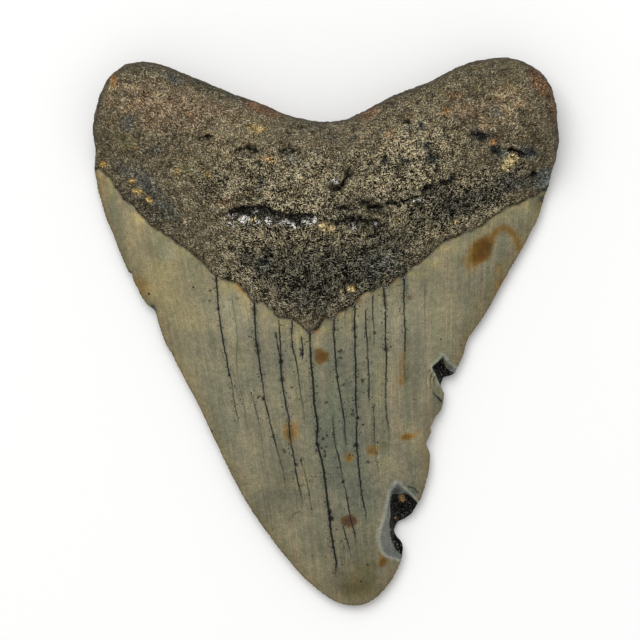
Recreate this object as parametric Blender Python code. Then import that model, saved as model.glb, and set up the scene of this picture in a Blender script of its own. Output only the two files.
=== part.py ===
"""Fossil megalodon tooth: one natural piece, lying on its flat outer face.

The root points to +Y, the tip to -Y and the bulging inner face up.  The origin
is in the middle of the outline, on the surface that the tooth lies on.

The root and the crown are each a ball whose vertices are moved out to the
tooth's outline and onto its face heights.  A union joins them along the ragged
enamel line, and then the pores, cracks and chipped edges are cut.
"""

import bpy
import bmesh
from math import atan2, exp, pi, radians, sqrt, tan, tau
from mathutils import Matrix, Vector, noise

# Lengths are in millimetres until the meshes are written, in metres.
MM = 0.001

# Driving dimensions.
TOOTH_WIDTH = 84.06
EDGE_HEIGHT = 2.0
ROOT_BODY_HEIGHT = 12.0

# The bulge in the middle of the root, and the slope up to the root's body.
ROOT_BULGE = 8.6
BULGE_WIDTH = 25.0
BULGE_LENGTH = 13.0
BULGE_Y = 22.5
LEDGE = 0.7
ROOT_SLOPE = 15.0
FOOT_RADIUS = 1.0
FOOT_BACK_RADIUS = 2.0

# The rounded rim of the root, thick at the lobes and thin at the shoulders.
LOBE_RIM_HEIGHT = 5.6
SHOULDER_RIM_HEIGHT = 2.6
SHOULDER_Y = 28.0
SHOULDER_TO_LOBE = 10.0
ROOT_RIM_RADIUS = 7.5
ROOT_BACK_RADIUS = 5.0

# The root's flat side: recessed at the enamel line, with a saddle between the lobes.
ENAMEL_STEP = 0.5
STEP_RUN = 6.0
HIDDEN_RISE = 0.7
HIDDEN_RUN = 4.0
SADDLE = 0.9
SADDLE_Y = 30.0
SADDLE_RUN = 8.0
SADDLE_WIDTH = 12.0
BACK_LUMPS = 0.5

# Lumps of the root: size across and height.
COARSE_LUMPS = (9.0, 1.3)
FINE_LUMPS = (3.6, 0.6)
LUMPS_AT_LEDGE = 0.3

# The crown: its height above the cutting edges at each Y, and its flat side.
CROWN_RISE = ((-49.3, 2.4), (-44.0, 4.4), (-32.0, 6.4), (-10.0, 9.0), (8.0, 11.0), (30.0, 12.0))
NARROWEST_HALF_WIDTH = 4.0
FLAT_SHARE = 0.52
EDGE_TURN = 1.6
TIP_LIFT_Y = -28.0
TIP_LIFT_RUN = 22.0
TIP_LIFT = 1.3
TIP_TURN = 1.5

# The end of the crown that is buried in the root.
BURIED_RISE = 2.0
BURIED_RUN = 4.0
BURIED_TOP_RADIUS = 5.0
BURIED_BACK_RISE = 1.6
BURIED_BACK_RUN = 3.0
BURIED_BACK_RADIUS = 1.5
BURIED_START = 1.0
EDGE_SHARE = 0.1

# Outlines are read off a straight view of the inner face, in its pixels.
OUTLINE_WIDTH_PX = 467.0
MIDDLE_PX = (326.0, 332.0)
PIXEL = TOOTH_WIDTH / OUTLINE_WIDTH_PX

ROOT_MARGIN_PX = (
    (94, 166), (94, 145), (94.5, 118), (103, 85), (123, 66), (147, 61.5), (186, 74), (246, 98),
    (288, 115), (322, 121.5), (352, 117), (388, 98), (428, 82), (460, 66), (500, 57.5),
    (531, 65), (549, 82), (558, 112), (558, 145), (549, 190),
)
ENAMEL_LINE_PX = (
    (94, 167), (113, 186), (131, 205), (151, 226), (179, 244), (200, 260), (217, 276), (238, 284),
    (250, 298), (264, 303), (277, 316), (294, 320), (308, 331), (315, 330.5), (325, 318),
    (337, 315), (345, 310), (354, 305), (363, 293), (380, 287), (399, 277), (414, 266),
    (431, 253), (446, 241), (466, 232), (480, 227), (492, 218), (507, 208), (536, 195), (549, 191),
)
LEFT_EDGE_PX = (
    (98, 157), (93, 170), (96, 188), (102, 208), (114, 240), (131, 274), (148, 303), (163, 338),
    (183, 378),
    (204, 418), (223, 458), (239, 490), (259, 522), (283, 554), (304, 578), (323, 594),
    (340, 603.5), (355, 606.3),
)
RIGHT_EDGE_PX = (
    (355, 606.3), (370, 602.5), (382, 593), (394, 577), (403, 558), (412, 535), (420, 508),
    (431, 459), (444, 412), (457, 370), (469, 338), (485, 306), (508, 274), (527, 242),
    (540, 218), (546, 200), (550, 187), (547, 174),
)
CROWN_TOP_PX = ((547, 174), (530, 171), (495, 187), (410, 216), (326, 229), (240, 216),
                (160, 186), (114, 161), (98, 157))
BACK_LINE_PX = ((85, 160), (150, 206), (230, 238), (326, 250), (420, 240), (500, 212), (565, 182))
ROOT_CENTRE_PX = (326, 200)
CROWN_CENTRE_PX = (333, 330)

# Even numbers, so that a row of vertices lies on the outline.
ROOT_CELLS = 18
CROWN_CELLS = 14
# 0 leaves the rows of vertices crowded at the rim, as on a ball, and 1 spaces them evenly.
ROOT_EVENNESS = 0.55
CROWN_EVENNESS = 0.85
HIDDEN_WEIGHT = 0.25
TIP_WEIGHT = 2.0
TIP_Y = -40.0
OUTLINE_STOPS = 720

# Pores and hollows of the root: middle, half length and half width in pixels,
# depth in millimetres and turn in degrees.
HOLLOWS = (
    ("slot_mouth", (249, 214), 21, 8.5, 2.8, 4),
    ("foramen", (343, 179), 7, 5, 1.6, 20),
    ("dent_left", (252, 152), 13, 8, 0.45, 0),
    ("dent_right", (290, 152), 12, 7, 0.55, 0),
    ("pit_high", (428, 149), 7, 5, 0.7, -20),
    ("pit_low", (433, 160), 7, 5, 0.9, 20),
    ("pit_middle", (383, 162), 6, 4, 0.6, 0),
    ("pit_left", (207, 138), 6, 4, 0.5, 0),
    ("crystal_hollow", (512, 161), 12, 10, 1.1, 0),
    ("crescent", (486, 142), 20, 6, 0.8, -28),
    ("shoulder_pit", (533, 178), 6, 6, 0.8, 0),
)

# Long hollows of the root: their paths in pixels, their greatest half width in millimetres.
FURROWS = (
    ("slot", ((236, 214), (256, 217), (280, 220), (302, 221), (322, 219)), 1.1),
    ("furrow_low", ((323, 222), (345, 226), (380, 225)), 0.6),
    ("furrow_high", ((345, 206), (365, 209), (388, 208), (408, 200), (432, 195), (455, 181)), 0.8),
)

# Cracks of the crown: their paths in pixels, their greatest half width in millimetres.
CRACKS = (
    ("crack_1", ((216, 279), (220, 321), (228, 369), (235, 405), (240, 428)), 0.28),
    ("crack_2", ((254, 304), (257, 345), (264, 393), (275, 441), (286, 484)), 0.3),
    ("crack_3", ((279, 322), (281, 369), (289, 417), (295, 463), (302, 505)), 0.36),
    ("crack_4", ((292, 323), (293, 345), (301, 393), (306, 428)), 0.22),
    ("crack_5", ((310, 335), (312, 369), (317, 417), (321, 455), (327, 493), (334, 549), (337, 572)),
     0.5),
    ("crack_6", ((334, 320), (337, 369), (344, 417), (346, 441)), 0.28),
    ("crack_6_tail", ((335, 446), (344, 480), (349, 509), (356, 536)), 0.26),
    ("crack_7", ((355, 307), (356, 369), (357, 417), (361, 483), (367, 528)), 0.38),
    ("crack_8", ((366, 323), (369, 369), (370, 403)), 0.24),
    ("crack_10", ((384, 292), (386, 345), (386, 405), (390, 443)), 0.34),
    ("crack_11", ((404, 284), (405, 321), (405, 386)), 0.24),
)
GROOVE_TAPER = 0.35
GROOVE_ENDS = 0.3
HOLLOW_LIFT = 0.25

# Chipped places on the cutting edges: middle and half sizes in pixels, lowest
# and highest reach in millimetres and turn in degrees.
CHIPS = (
    ("chip_upper", (455, 381), (13, 7.5), (-3, 12), -20),
    ("chip_upper_face", (449, 371), (13, 8), (2.6, 9), 25),
    ("chip_bulge", (456, 403), (14, 22), (-3, 10), -14),
    ("chip_middle", (439, 440), (11, 20), (-3, 10), -18),
    ("chip_notch", (411, 528), (16, 14), (-3, 10), 10),
    ("chip_notch_low", (414, 545), (11, 13), (-3, 10), 10),
    ("chip_hollow", (411, 505), (21, 30), (2.1, 12), -20),
    ("chip_hollow_low", (400, 537), (18, 25), (1.8, 11), 8),
    ("nick_left", (142, 303), (9, 5), (-3, 9), -25),
    ("nick_left_upper", (126, 274), (7, 3.5), (-3, 9), -20),
)

LEVEL_ANGLE = 0.02

ROOT_COLOUR = (0.15, 0.12, 0.075, 1.0)
ENAMEL_COLOUR = (0.25, 0.23, 0.135, 1.0)
ROOT_ROUGHNESS = 0.85
ENAMEL_ROUGHNESS = 0.35


def clamp(value):
    return min(max(value, 0.0), 1.0)


def smooth(share):
    """Rise from 0 to 1 with no corner at either end."""
    share = clamp(share)
    return share * share * (3.0 - 2.0 * share)


def rounded(share):
    """Rise from 0 to 1 along a quarter of a circle."""
    return sqrt(1.0 - (1.0 - clamp(share)) ** 2)


def from_pixel(point):
    x = (point[0] - MIDDLE_PX[0]) * PIXEL
    y = (MIDDLE_PX[1] - point[1]) * PIXEL
    return Vector((x, y))


def curve_through(points_px, steps=5):
    """Catmull-Rom curve through an open row of points."""
    points = [from_pixel(point) for point in points_px]
    padded = [2 * points[0] - points[1]] + points + [2 * points[-1] - points[-2]]
    line = []
    for before, start, end, after in zip(padded, padded[1:], padded[2:], padded[3:]):
        for step in range(steps):
            t = step / steps
            bend = 2 * start + (end - before) * t
            bend += (2 * before - 5 * start + 4 * end - after) * t ** 2
            bend += (3 * start - before - 3 * end + after) * t ** 3
            line.append(0.5 * bend)
    line.append(points[-1])
    return line


ROOT_MARGIN = curve_through(ROOT_MARGIN_PX)
ENAMEL_LINE = [from_pixel(point) for point in ENAMEL_LINE_PX]
LEFT_EDGE = curve_through(LEFT_EDGE_PX)
RIGHT_EDGE = curve_through(RIGHT_EDGE_PX)
CROWN_TOP = curve_through(CROWN_TOP_PX)
BACK_LINE = curve_through(BACK_LINE_PX)
CROWN_EDGE = LEFT_EDGE + RIGHT_EDGE[1:]


def distance(point, line):
    """Shortest distance from a point to a row of joined points."""
    best = 1e9
    for start, end in zip(line, line[1:]):
        along = end - start
        share = clamp((point - start).dot(along) / max(along.length_squared, 1e-12))
        best = min(best, (point - start - along * share).length)
    return best


def read_row(pairs, place):
    """Height of a row of (place, height) pairs, with straight runs between them."""
    if place <= pairs[0][0]:
        return pairs[0][1]
    for (low, low_value), (high, high_value) in zip(pairs, pairs[1:]):
        if place <= high:
            return low_value + (high_value - low_value) * (place - low) / max(high - low, 1e-9)
    return pairs[-1][1]


LEFT_X = sorted((point.y, point.x) for point in LEFT_EDGE)
RIGHT_X = sorted((point.y, point.x) for point in RIGHT_EDGE)
BACK_Y = [(point.x, point.y) for point in BACK_LINE]


def past_back_line(point):
    """How far a point lies on the root's side of the enamel line of the flat face."""
    return point.y - read_row(BACK_Y, point.x)


def crown_spread(point):
    """Share of the way in from the cutting edge, 0 on the edge and 1 on the ridge."""
    half_width = 0.5 * (read_row(RIGHT_X, point.y) - read_row(LEFT_X, point.y))
    return clamp(distance(point, CROWN_EDGE) / max(half_width, NARROWEST_HALF_WIDTH))


def crown_face(point):
    """Height of the enamel on the inner face."""
    return EDGE_HEIGHT + read_row(CROWN_RISE, point.y) * (1.0 - (1.0 - crown_spread(point)) ** 2)


def crown_back(point):
    """Height of the flat outer face, which turns up towards the edges and the tip."""
    outward = max(0.0, 1.0 - crown_spread(point) - FLAT_SHARE) / (1.0 - FLAT_SHARE)
    tip = max(0.0, (TIP_LIFT_Y - point.y) / TIP_LIFT_RUN)
    return max(EDGE_HEIGHT * outward ** EDGE_TURN, TIP_LIFT * tip ** TIP_TURN)


def lumps(point, side):
    """Uneven ground of the root."""
    place = Vector((point.x, point.y, 40.0 * side))
    coarse = noise.fractal(place / COARSE_LUMPS[0], 1.0, 2.0, 2)
    fine = noise.fractal(place / FINE_LUMPS[0], 1.0, 2.0, 1)
    return COARSE_LUMPS[1] * coarse + FINE_LUMPS[1] * fine


def root_face(point):
    """Full height of the root on the inner face, away from its rounded rim."""
    bulge = (point.x / BULGE_WIDTH) ** 2 + ((point.y - BULGE_Y) / BULGE_LENGTH) ** 2
    body = ROOT_BODY_HEIGHT + ROOT_BULGE * exp(-bulge)
    share = smooth(distance(point, ENAMEL_LINE) / ROOT_SLOPE)
    low = crown_face(point) + LEDGE
    uneven = lumps(point, 1.0) * (LUMPS_AT_LEDGE + (1.0 - LUMPS_AT_LEDGE) * share)
    return low + (body - low) * share + uneven


def root_back(point):
    """Height of the root on the flat side, never below the surface it lies on."""
    past = past_back_line(point)
    if past < 0.0:
        return ENAMEL_STEP + HIDDEN_RISE * smooth(-past / HIDDEN_RUN) + crown_back(point)
    step = ENAMEL_STEP * (1.0 - smooth(past / STEP_RUN))
    across = exp(-(point.x / SADDLE_WIDTH) ** 2)
    saddle = SADDLE * smooth((point.y - SADDLE_Y) / SADDLE_RUN) * across
    return max(0.0, step + saddle + BACK_LUMPS * lumps(point, -1.0))


def root_heights(point):
    """Lowest, rim and highest height of the root over a point of the plan."""
    to_lobe = smooth((point.y - SHOULDER_Y) / SHOULDER_TO_LOBE)
    rim = SHOULDER_RIM_HEIGHT + (LOBE_RIM_HEIGHT - SHOULDER_RIM_HEIGHT) * to_lobe
    margin = distance(point, ROOT_MARGIN)
    foot = distance(point, ENAMEL_LINE)
    swell = rounded(margin / ROOT_RIM_RADIUS) * rounded(foot / FOOT_RADIUS)
    sink = rounded(margin / ROOT_BACK_RADIUS) * rounded(foot / FOOT_BACK_RADIUS)
    return rim - (rim - root_back(point)) * sink, rim, rim + (root_face(point) - rim) * swell


def root_top(point):
    return root_heights(point)[2]


def crown_heights(point):
    """Lowest, rim and highest height of the crown over a point of the plan."""
    past = past_back_line(point) + BURIED_START
    inset = distance(point, CROWN_TOP)
    buried = smooth(past / BURIED_RUN) * smooth(crown_spread(point) / EDGE_SHARE)
    rim = EDGE_HEIGHT + BURIED_RISE * buried
    top = rim + (crown_face(point) - rim) * rounded(inset / BURIED_TOP_RADIUS)
    back = min(rim, crown_back(point) + BURIED_BACK_RISE * smooth(past / BURIED_BACK_RUN))
    return rim - (rim - back) * rounded(inset / BURIED_BACK_RADIUS), rim, top


def walk(outline, weights, count):
    """Evenly spaced points around a closed outline, wide apart where the weight is low."""
    lengths = [(end - start).length * weight
               for start, end, weight in zip(outline, outline[1:] + outline[:1], weights)]
    total = sum(lengths)
    stops = []
    index = 0
    done = 0.0
    for number in range(count):
        target = total * number / count
        while done + lengths[index] < target:
            done += lengths[index]
            index += 1
        share = (target - done) / max(lengths[index], 1e-9)
        stops.append(outline[index].lerp(outline[(index + 1) % len(outline)], share))
    return stops


def ball_to_form(name, outline, weights, centre, cells, heights, evenness):
    """Cube of cells x cells squares a side, rounded to a ball and moved onto the form.

    A vertex goes to the same share of the way around the outline as it has around
    the ball, then in towards the centre, and up or down to the form's heights.
    """
    form = bmesh.new()
    bmesh.ops.create_cube(form, size=2.0)
    bmesh.ops.subdivide_edges(form, edges=form.edges, cuts=cells - 1, use_grid_fill=True)
    stops = walk(outline, weights, OUTLINE_STOPS)
    for vert in form.verts:
        ball = Vector([tan(0.25 * pi * value) for value in vert.co]).normalized()
        around = (atan2(ball.y, ball.x) / tau % 1.0) * OUTLINE_STOPS
        first = int(around)
        stop = stops[first % OUTLINE_STOPS].lerp(stops[(first + 1) % OUTLINE_STOPS], around - first)
        reach = sqrt(ball.x ** 2 + ball.y ** 2)
        level = 1.0 - abs(atan2(ball.z, reach)) / (0.5 * pi)
        plan = centre.lerp(stop, evenness * level + (1.0 - evenness) * reach)
        low, rim, top = heights(plan)
        z = rim
        if level < 0.999:
            z = top if ball.z > 0.0 else low
        vert.co = Vector((plan.x, plan.y, z)) * MM
    bmesh.ops.triangulate(form, faces=form.faces)
    bmesh.ops.recalc_face_normals(form, faces=form.faces)
    mesh = bpy.data.meshes.new(name)
    form.to_mesh(mesh)
    form.free()
    mesh.shade_smooth()
    return bpy.data.objects.new(name, mesh)


def make_root():
    outline = ROOT_MARGIN + ENAMEL_LINE[::-1][1:-1]
    weights = [1.0] * len(outline)
    return ball_to_form("megalodon_tooth", outline, weights, from_pixel(ROOT_CENTRE_PX),
                        ROOT_CELLS, root_heights, ROOT_EVENNESS)


def make_crown():
    outline = RIGHT_EDGE + CROWN_TOP[1:-1] + LEFT_EDGE[:-1]
    weights = [TIP_WEIGHT if point.y < TIP_Y else 1.0 for point in outline]
    first = len(RIGHT_EDGE) - 1
    weights[first:first + len(CROWN_TOP) - 1] = [HIDDEN_WEIGHT] * (len(CROWN_TOP) - 1)
    return ball_to_form("crown", outline, weights, from_pixel(CROWN_CENTRE_PX),
                        CROWN_CELLS, crown_heights, CROWN_EVENNESS)


def ellipsoid(name, middle, half_sizes, turn, segments=12, rings=6):
    """Sphere drawn out to three half sizes, in millimetres, and turned about +Z."""
    mesh = bpy.data.meshes.new(name)
    form = bmesh.new()
    bmesh.ops.create_uvsphere(form, u_segments=segments, v_segments=rings, radius=1.0)
    place = Matrix.Translation(middle * MM) @ Matrix.Rotation(radians(turn), 4, "Z")
    place = place @ Matrix.Diagonal((*(Vector(half_sizes) * MM), 1.0))
    bmesh.ops.transform(form, matrix=place, verts=form.verts)
    form.to_mesh(mesh)
    form.free()
    return bpy.data.objects.new(name, mesh)


def make_hollow(name, middle_px, half_length, half_width, depth, turn):
    """Sunk ellipsoid whose rim on the surface has the given half sizes."""
    plan = from_pixel(middle_px)
    surface = root_top(plan)
    middle = Vector((plan.x, plan.y, surface + HOLLOW_LIFT * depth))
    sizes = (half_length * PIXEL, half_width * PIXEL, (1.0 + HOLLOW_LIFT) * depth)
    return ellipsoid(name, middle, sizes, turn)


def make_chip(name, middle_px, half_sizes_px, reach, turn):
    """Ellipsoid bite out of a cutting edge."""
    plan = from_pixel(middle_px)
    low, high = reach
    middle = Vector((plan.x, plan.y, 0.5 * (low + high)))
    sizes = (half_sizes_px[0] * PIXEL, half_sizes_px[1] * PIXEL, 0.5 * (high - low))
    return ellipsoid(name, middle, sizes, turn)


def make_groove(name, path_px, half_width, face, resolution):
    """Tube that follows a face of the tooth, thinner at its ends."""
    line = curve_through(path_px, 2)
    data = bpy.data.curves.new(name, "CURVE")
    data.dimensions = "3D"
    data.bevel_depth = half_width * MM
    data.bevel_resolution = resolution
    data.use_fill_caps = True
    spline = data.splines.new("POLY")
    spline.points.add(len(line) - 1)
    for number, point in enumerate(line):
        end = min(number, len(line) - 1 - number) / (GROOVE_ENDS * len(line))
        spline.points[number].co = (*(Vector((point.x, point.y, face(point))) * MM), 1.0)
        spline.points[number].radius = GROOVE_TAPER + (1.0 - GROOVE_TAPER) * smooth(end)
    return data


def curve_to_cutter(name, data, cutters):
    """Closed mesh of a curve's tube, with the curve removed again."""
    guide = bpy.data.objects.new(name + "_path", data)
    cutters.objects.link(guide)
    depsgraph = bpy.context.evaluated_depsgraph_get()
    mesh = bpy.data.meshes.new_from_object(guide.evaluated_get(depsgraph))
    form = bmesh.new()
    form.from_mesh(mesh)
    bmesh.ops.remove_doubles(form, verts=form.verts, dist=1e-6)
    bmesh.ops.recalc_face_normals(form, faces=form.faces)
    form.to_mesh(mesh)
    form.free()
    tube = bpy.data.objects.new(name, mesh)
    tube.matrix_world = guide.matrix_world
    bpy.data.objects.remove(guide, do_unlink=True)
    return tube


def add_cutter(cutters, helper):
    cutters.objects.link(helper)
    helper.hide_render = True
    helper.display_type = "WIRE"


def combine(body, helper, operation):
    modifier = body.modifiers.new(helper.name, "BOOLEAN")
    modifier.operation = operation
    modifier.solver = "EXACT"
    modifier.object = helper


def join_level_faces(body):
    """Join the faces that lie in one plane, as on the flat side."""
    modifier = body.modifiers.new("level_faces", "DECIMATE")
    modifier.decimate_type = "DISSOLVE"
    modifier.angle_limit = radians(LEVEL_ANGLE)


def material(name, colour, roughness):
    finish = bpy.data.materials.new(name)
    finish.use_nodes = True
    shader = finish.node_tree.nodes["Principled BSDF"]
    shader.inputs["Base Color"].default_value = colour
    shader.inputs["Roughness"].default_value = roughness
    shader.inputs["Metallic"].default_value = 0.0
    return finish


def collection(name):
    made = bpy.data.collections.new(name)
    bpy.context.scene.collection.children.link(made)
    return made


def build():
    for item in list(bpy.data.objects):
        bpy.data.objects.remove(item, do_unlink=True)
    parts = collection("megalodon_tooth")
    cutters = collection("cutters")

    tooth = make_root()
    crown = make_crown()
    parts.objects.link(tooth)
    for form in (tooth, crown):
        form.data.materials.append(material("root", ROOT_COLOUR, ROOT_ROUGHNESS))
        form.data.materials.append(material("enamel", ENAMEL_COLOUR, ENAMEL_ROUGHNESS))
    for face in crown.data.polygons:
        face.material_index = 1
    add_cutter(cutters, crown)
    combine(tooth, crown, "UNION")

    helpers = [make_chip(*chip) for chip in CHIPS]
    helpers += [make_hollow(*hollow) for hollow in HOLLOWS]
    for name, path_px, half_width in CRACKS:
        groove = make_groove(name, path_px, half_width, crown_face, 0)
        helpers.append(curve_to_cutter(name, groove, cutters))
    for name, path_px, half_width in FURROWS:
        groove = make_groove(name, path_px, half_width, root_top, 1)
        helpers.append(curve_to_cutter(name, groove, cutters))
    for helper in helpers:
        add_cutter(cutters, helper)
        combine(tooth, helper, "DIFFERENCE")
    join_level_faces(tooth)
    tooth.modifiers.new("shading", "WEIGHTED_NORMAL")


build()
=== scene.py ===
"""Looks of the fossil megalodon tooth.

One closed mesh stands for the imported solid: a rough, pitted root over a smooth, cracked
crown with chipped edges.  Its plan is triangulated between lines read off the photograph
(outline, enamel line, cracks, chips), lifted onto the same heights as the solid, and
given its relief and its tones point by point.  The finer grain is in the materials.
"""

from math import pi, radians, tau

import bpy
import numpy as np
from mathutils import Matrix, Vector, noise
from mathutils.geometry import delaunay_2d_cdt
from mathutils.kdtree import KDTree


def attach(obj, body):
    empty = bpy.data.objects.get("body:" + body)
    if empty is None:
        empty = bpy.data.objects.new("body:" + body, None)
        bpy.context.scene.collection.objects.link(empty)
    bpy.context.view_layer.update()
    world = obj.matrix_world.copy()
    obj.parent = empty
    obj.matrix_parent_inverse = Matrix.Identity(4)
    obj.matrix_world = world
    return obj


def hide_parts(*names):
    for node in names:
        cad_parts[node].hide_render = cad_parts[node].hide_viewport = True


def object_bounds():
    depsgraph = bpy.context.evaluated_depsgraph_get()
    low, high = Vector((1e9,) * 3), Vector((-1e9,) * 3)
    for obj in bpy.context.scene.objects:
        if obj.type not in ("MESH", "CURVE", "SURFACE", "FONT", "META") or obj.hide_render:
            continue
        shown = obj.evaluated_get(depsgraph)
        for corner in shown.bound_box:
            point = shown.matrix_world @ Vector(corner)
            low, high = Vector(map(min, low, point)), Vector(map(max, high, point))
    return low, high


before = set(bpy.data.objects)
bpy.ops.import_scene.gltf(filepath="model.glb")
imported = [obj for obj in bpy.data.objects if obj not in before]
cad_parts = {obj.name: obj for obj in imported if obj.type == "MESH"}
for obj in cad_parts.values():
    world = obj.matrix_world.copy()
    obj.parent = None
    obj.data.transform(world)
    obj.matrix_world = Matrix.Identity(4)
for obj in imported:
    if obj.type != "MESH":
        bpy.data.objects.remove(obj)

CAD_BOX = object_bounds()
NODE = "megalodon_tooth"

# Lengths are in millimetres until the mesh is written, in metres.
MM = 0.001
PIXEL = 0.18
MIDDLE_PX = (326.0, 332.0)
random = np.random.default_rng(7)
TINY, TOUCHING = 1e-4, 1e-3

# Heights, as in the solid.
EDGE_HEIGHT = 2.0
CROWN_RISE = ((-49.3, 2.4), (-44.0, 4.4), (-32.0, 6.4), (-10.0, 9.0), (8.0, 11.0), (30.0, 12.0))
NARROWEST_HALF_WIDTH = 4.0
FLAT_SHARE = 0.52
EDGE_TURN = 1.6
TIP_LIFT, TIP_LIFT_Y, TIP_LIFT_RUN, TIP_TURN = 1.3, -28.0, 22.0, 1.5
ROOT_BODY_HEIGHT, ROOT_BULGE, BULGE_WIDTH, BULGE_LENGTH, BULGE_Y = 12.0, 8.6, 25.0, 13.0, 22.5
LEDGE, ROOT_SLOPE = 0.7, 15.0
LOBE_RIM_HEIGHT, SHOULDER_RIM_HEIGHT, SHOULDER_Y, SHOULDER_TO_LOBE = 5.6, 2.6, 28.0, 10.0
ROOT_RIM_RADIUS, ROOT_BACK_RADIUS, LEAST_RIM_RADIUS, RIM_TAPER = 7.5, 5.0, 0.5, 11.0
ENAMEL_STEP, STEP_RUN = 0.5, 6.0
SADDLE, SADDLE_Y, SADDLE_RUN, SADDLE_WIDTH = 0.9, 30.0, 8.0, 12.0
LUMPS_AT_LEDGE, BACK_LUMPS, LUMPS_APART = 0.3, 0.5, 40.0
CROWN_AT_LEDGE_RUN = 6.0
LEDGE_ROUND, BACK_LEDGE_ROUND = 0.45, 0.5

# Layers of noise: strength, size of the features, octaves and seed.
LUMPS = ((1.3, 9.0, 2, 0.0), (0.6, 3.6, 1, 0.0))
LINE_SHAKE = ((0.26, 1.2, 2, 3.0), (0.16, 0.5, 2, 12.0))
SERRATION_WANDER = ((1.4, 5.0, 2, 17.0),)
SERRATION_WEAR = ((1.3, 7.0, 2, 31.0),)
EDGE_WAVES = ((0.08, 2.2, 2, 53.0),)
CORE_ROUGHNESS = ((0.35, 1.1, 3, 71.0),)
BREAK_ROUGHNESS = ((0.06, 0.8, 2, 5.0),)
FURROW_CRUMBLING = ((1.6, 0.8, 2, 211.0),)
FURROW_SHAKES = (((0.34, 0.6, 2, 133.0),), ((0.34, 0.6, 2, 157.0),))
WOBBLES = (((1.1, 3.2, 3, 11.0), (0.35, 0.9, 2, 23.0)), ((1.1, 3.2, 3, 47.0), (0.35, 0.9, 2, 61.0)))
GROWTH_LINES = ((0.03, 1.0, 3, 5.0),)
CROWN_WAVES = ((0.09, 7.0, 2, 91.0),)
ROOT_GRAIN = ((0.34, 2.3, 3, 13.0), (0.16, 0.85, 2, 29.0))
FIBRE_GRAIN = ((0.13, 1.0, 2, 37.0),)
BACK_GRAIN = ((0.2, 2.3, 3, 113.0), (0.1, 0.9, 2, 129.0))
LEDGE_SHADE = ((0.25, 0.7, 2, 83.0),)
ENAMEL_SHADE = ((0.12, 0.6, 2, 87.0),)
YELLOW_SHARE = ((1.8, 2.2, 2, 19.0),)
EDGE_SHARE = ((1.4, 3.5, 2, 43.0),)
BAND_WANDER = ((0.9, 4.0, 2, 71.0),)
BACK_MOTTLE = ((1.2, 9.0, 3, 7.0),)
BACK_RUST = ((3.0, 6.0, 2, 77.0),)
BACK_STAINS = ((5.0, 7.5, 1, 201.0),)

# Lines, in the photograph's pixels.
ROOT_MARGIN_PX = (
    (93, 170), (94, 158), (94.5, 146), (94, 126), (95.5, 108), (101, 90), (110, 75), (122, 66), (134, 62.5),
    (147, 61.5), (167, 66), (186, 74), (225, 90), (246, 98), (268, 106), (286, 114), (304, 119),
    (322, 121.5), (340, 120), (358, 114), (388, 98), (407, 90), (428, 82), (444, 74), (460, 66), (480, 60),
    (500, 57.5), (519, 59.5), (533, 66), (545, 75), (552, 86), (556, 98), (558.5, 118), (559, 140),
    (556.5, 157), (553.5, 171), (550, 186),
)
# Both sides of the crown: the cutting edge as it was, and as it is with its chips.
RIGHT_START_PX = (
    (550, 186), (544, 203), (540, 217), (531, 234), (522, 251), (508, 275), (500, 290), (490, 307),
    (481, 322), (469, 339),
)
RIGHT_UNBROKEN_PX = (
    (464, 354), (457, 370), (447, 404), (431, 459), (424, 497), (417, 524), (409, 545), (403, 558),
    (400, 565.3),
)
RIGHT_BROKEN_PX = (
    (464.5, 354), (460.5, 363), (456.7, 370.2), (455.5, 372.9), (450.2, 375.6), (444.5, 377.5),
    (443.3, 380.5), (442.2, 383.6), (441.8, 386), (443.3, 389.7), (445.2, 393.6), (445, 397.4),
    (443.9, 403.5), (442.2, 408.9), (439.5, 413.5), (436.8, 416.5), (435.3, 419.6), (433.7, 423.4),
    (431.8, 426.5), (431.7, 428.8), (432.4, 431.4), (431.1, 434.1), (429.2, 437.9), (427.6, 441),
    (427, 444.1), (428, 447.1), (429.9, 450.9), (431.1, 456), (430.6, 466), (428.3, 477.6), (425.2, 488.8),
    (422.1, 498), (418.6, 503.1), (415, 509.2), (412.4, 513.8), (407.9, 517.3), (403.8, 519.9),
    (399.2, 521.9), (396.6, 525.5), (394.9, 530.6), (396.6, 535.7), (400.2, 539.8), (402.8, 543.4),
    (403.8, 548), (403.3, 553.1), (402.6, 558.2), (400.2, 565.3),
)
RIGHT_END_PX = (
    (395.6, 574.5), (388.5, 585.7), (379.3, 595.9), (371, 602), (364, 605.2), (355, 606.3),
)
LEFT_START_PX = (
    (355, 606.3), (346, 605.3), (336, 602), (323, 594), (304, 578), (283, 554), (259, 522), (239, 490),
    (223, 458), (204, 418), (192, 394), (175, 362),
)
LEFT_UNBROKEN_PX = (
    (163, 338), (150, 315), (141, 298), (132, 280),
)
LEFT_BROKEN_PX = (
    (171, 354), (166, 346), (160, 330), (157, 322), (155, 313), (152.5, 308.5), (147.5, 305), (144, 301.5),
    (141, 297), (137, 289), (133, 281.5), (131.5, 276), (131, 273.5), (127, 270.5),
)
LEFT_END_PX = (
    (125, 266), (118, 250), (112, 234), (105, 218), (101, 204), (96.5, 188), (93, 170),
)
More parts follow.
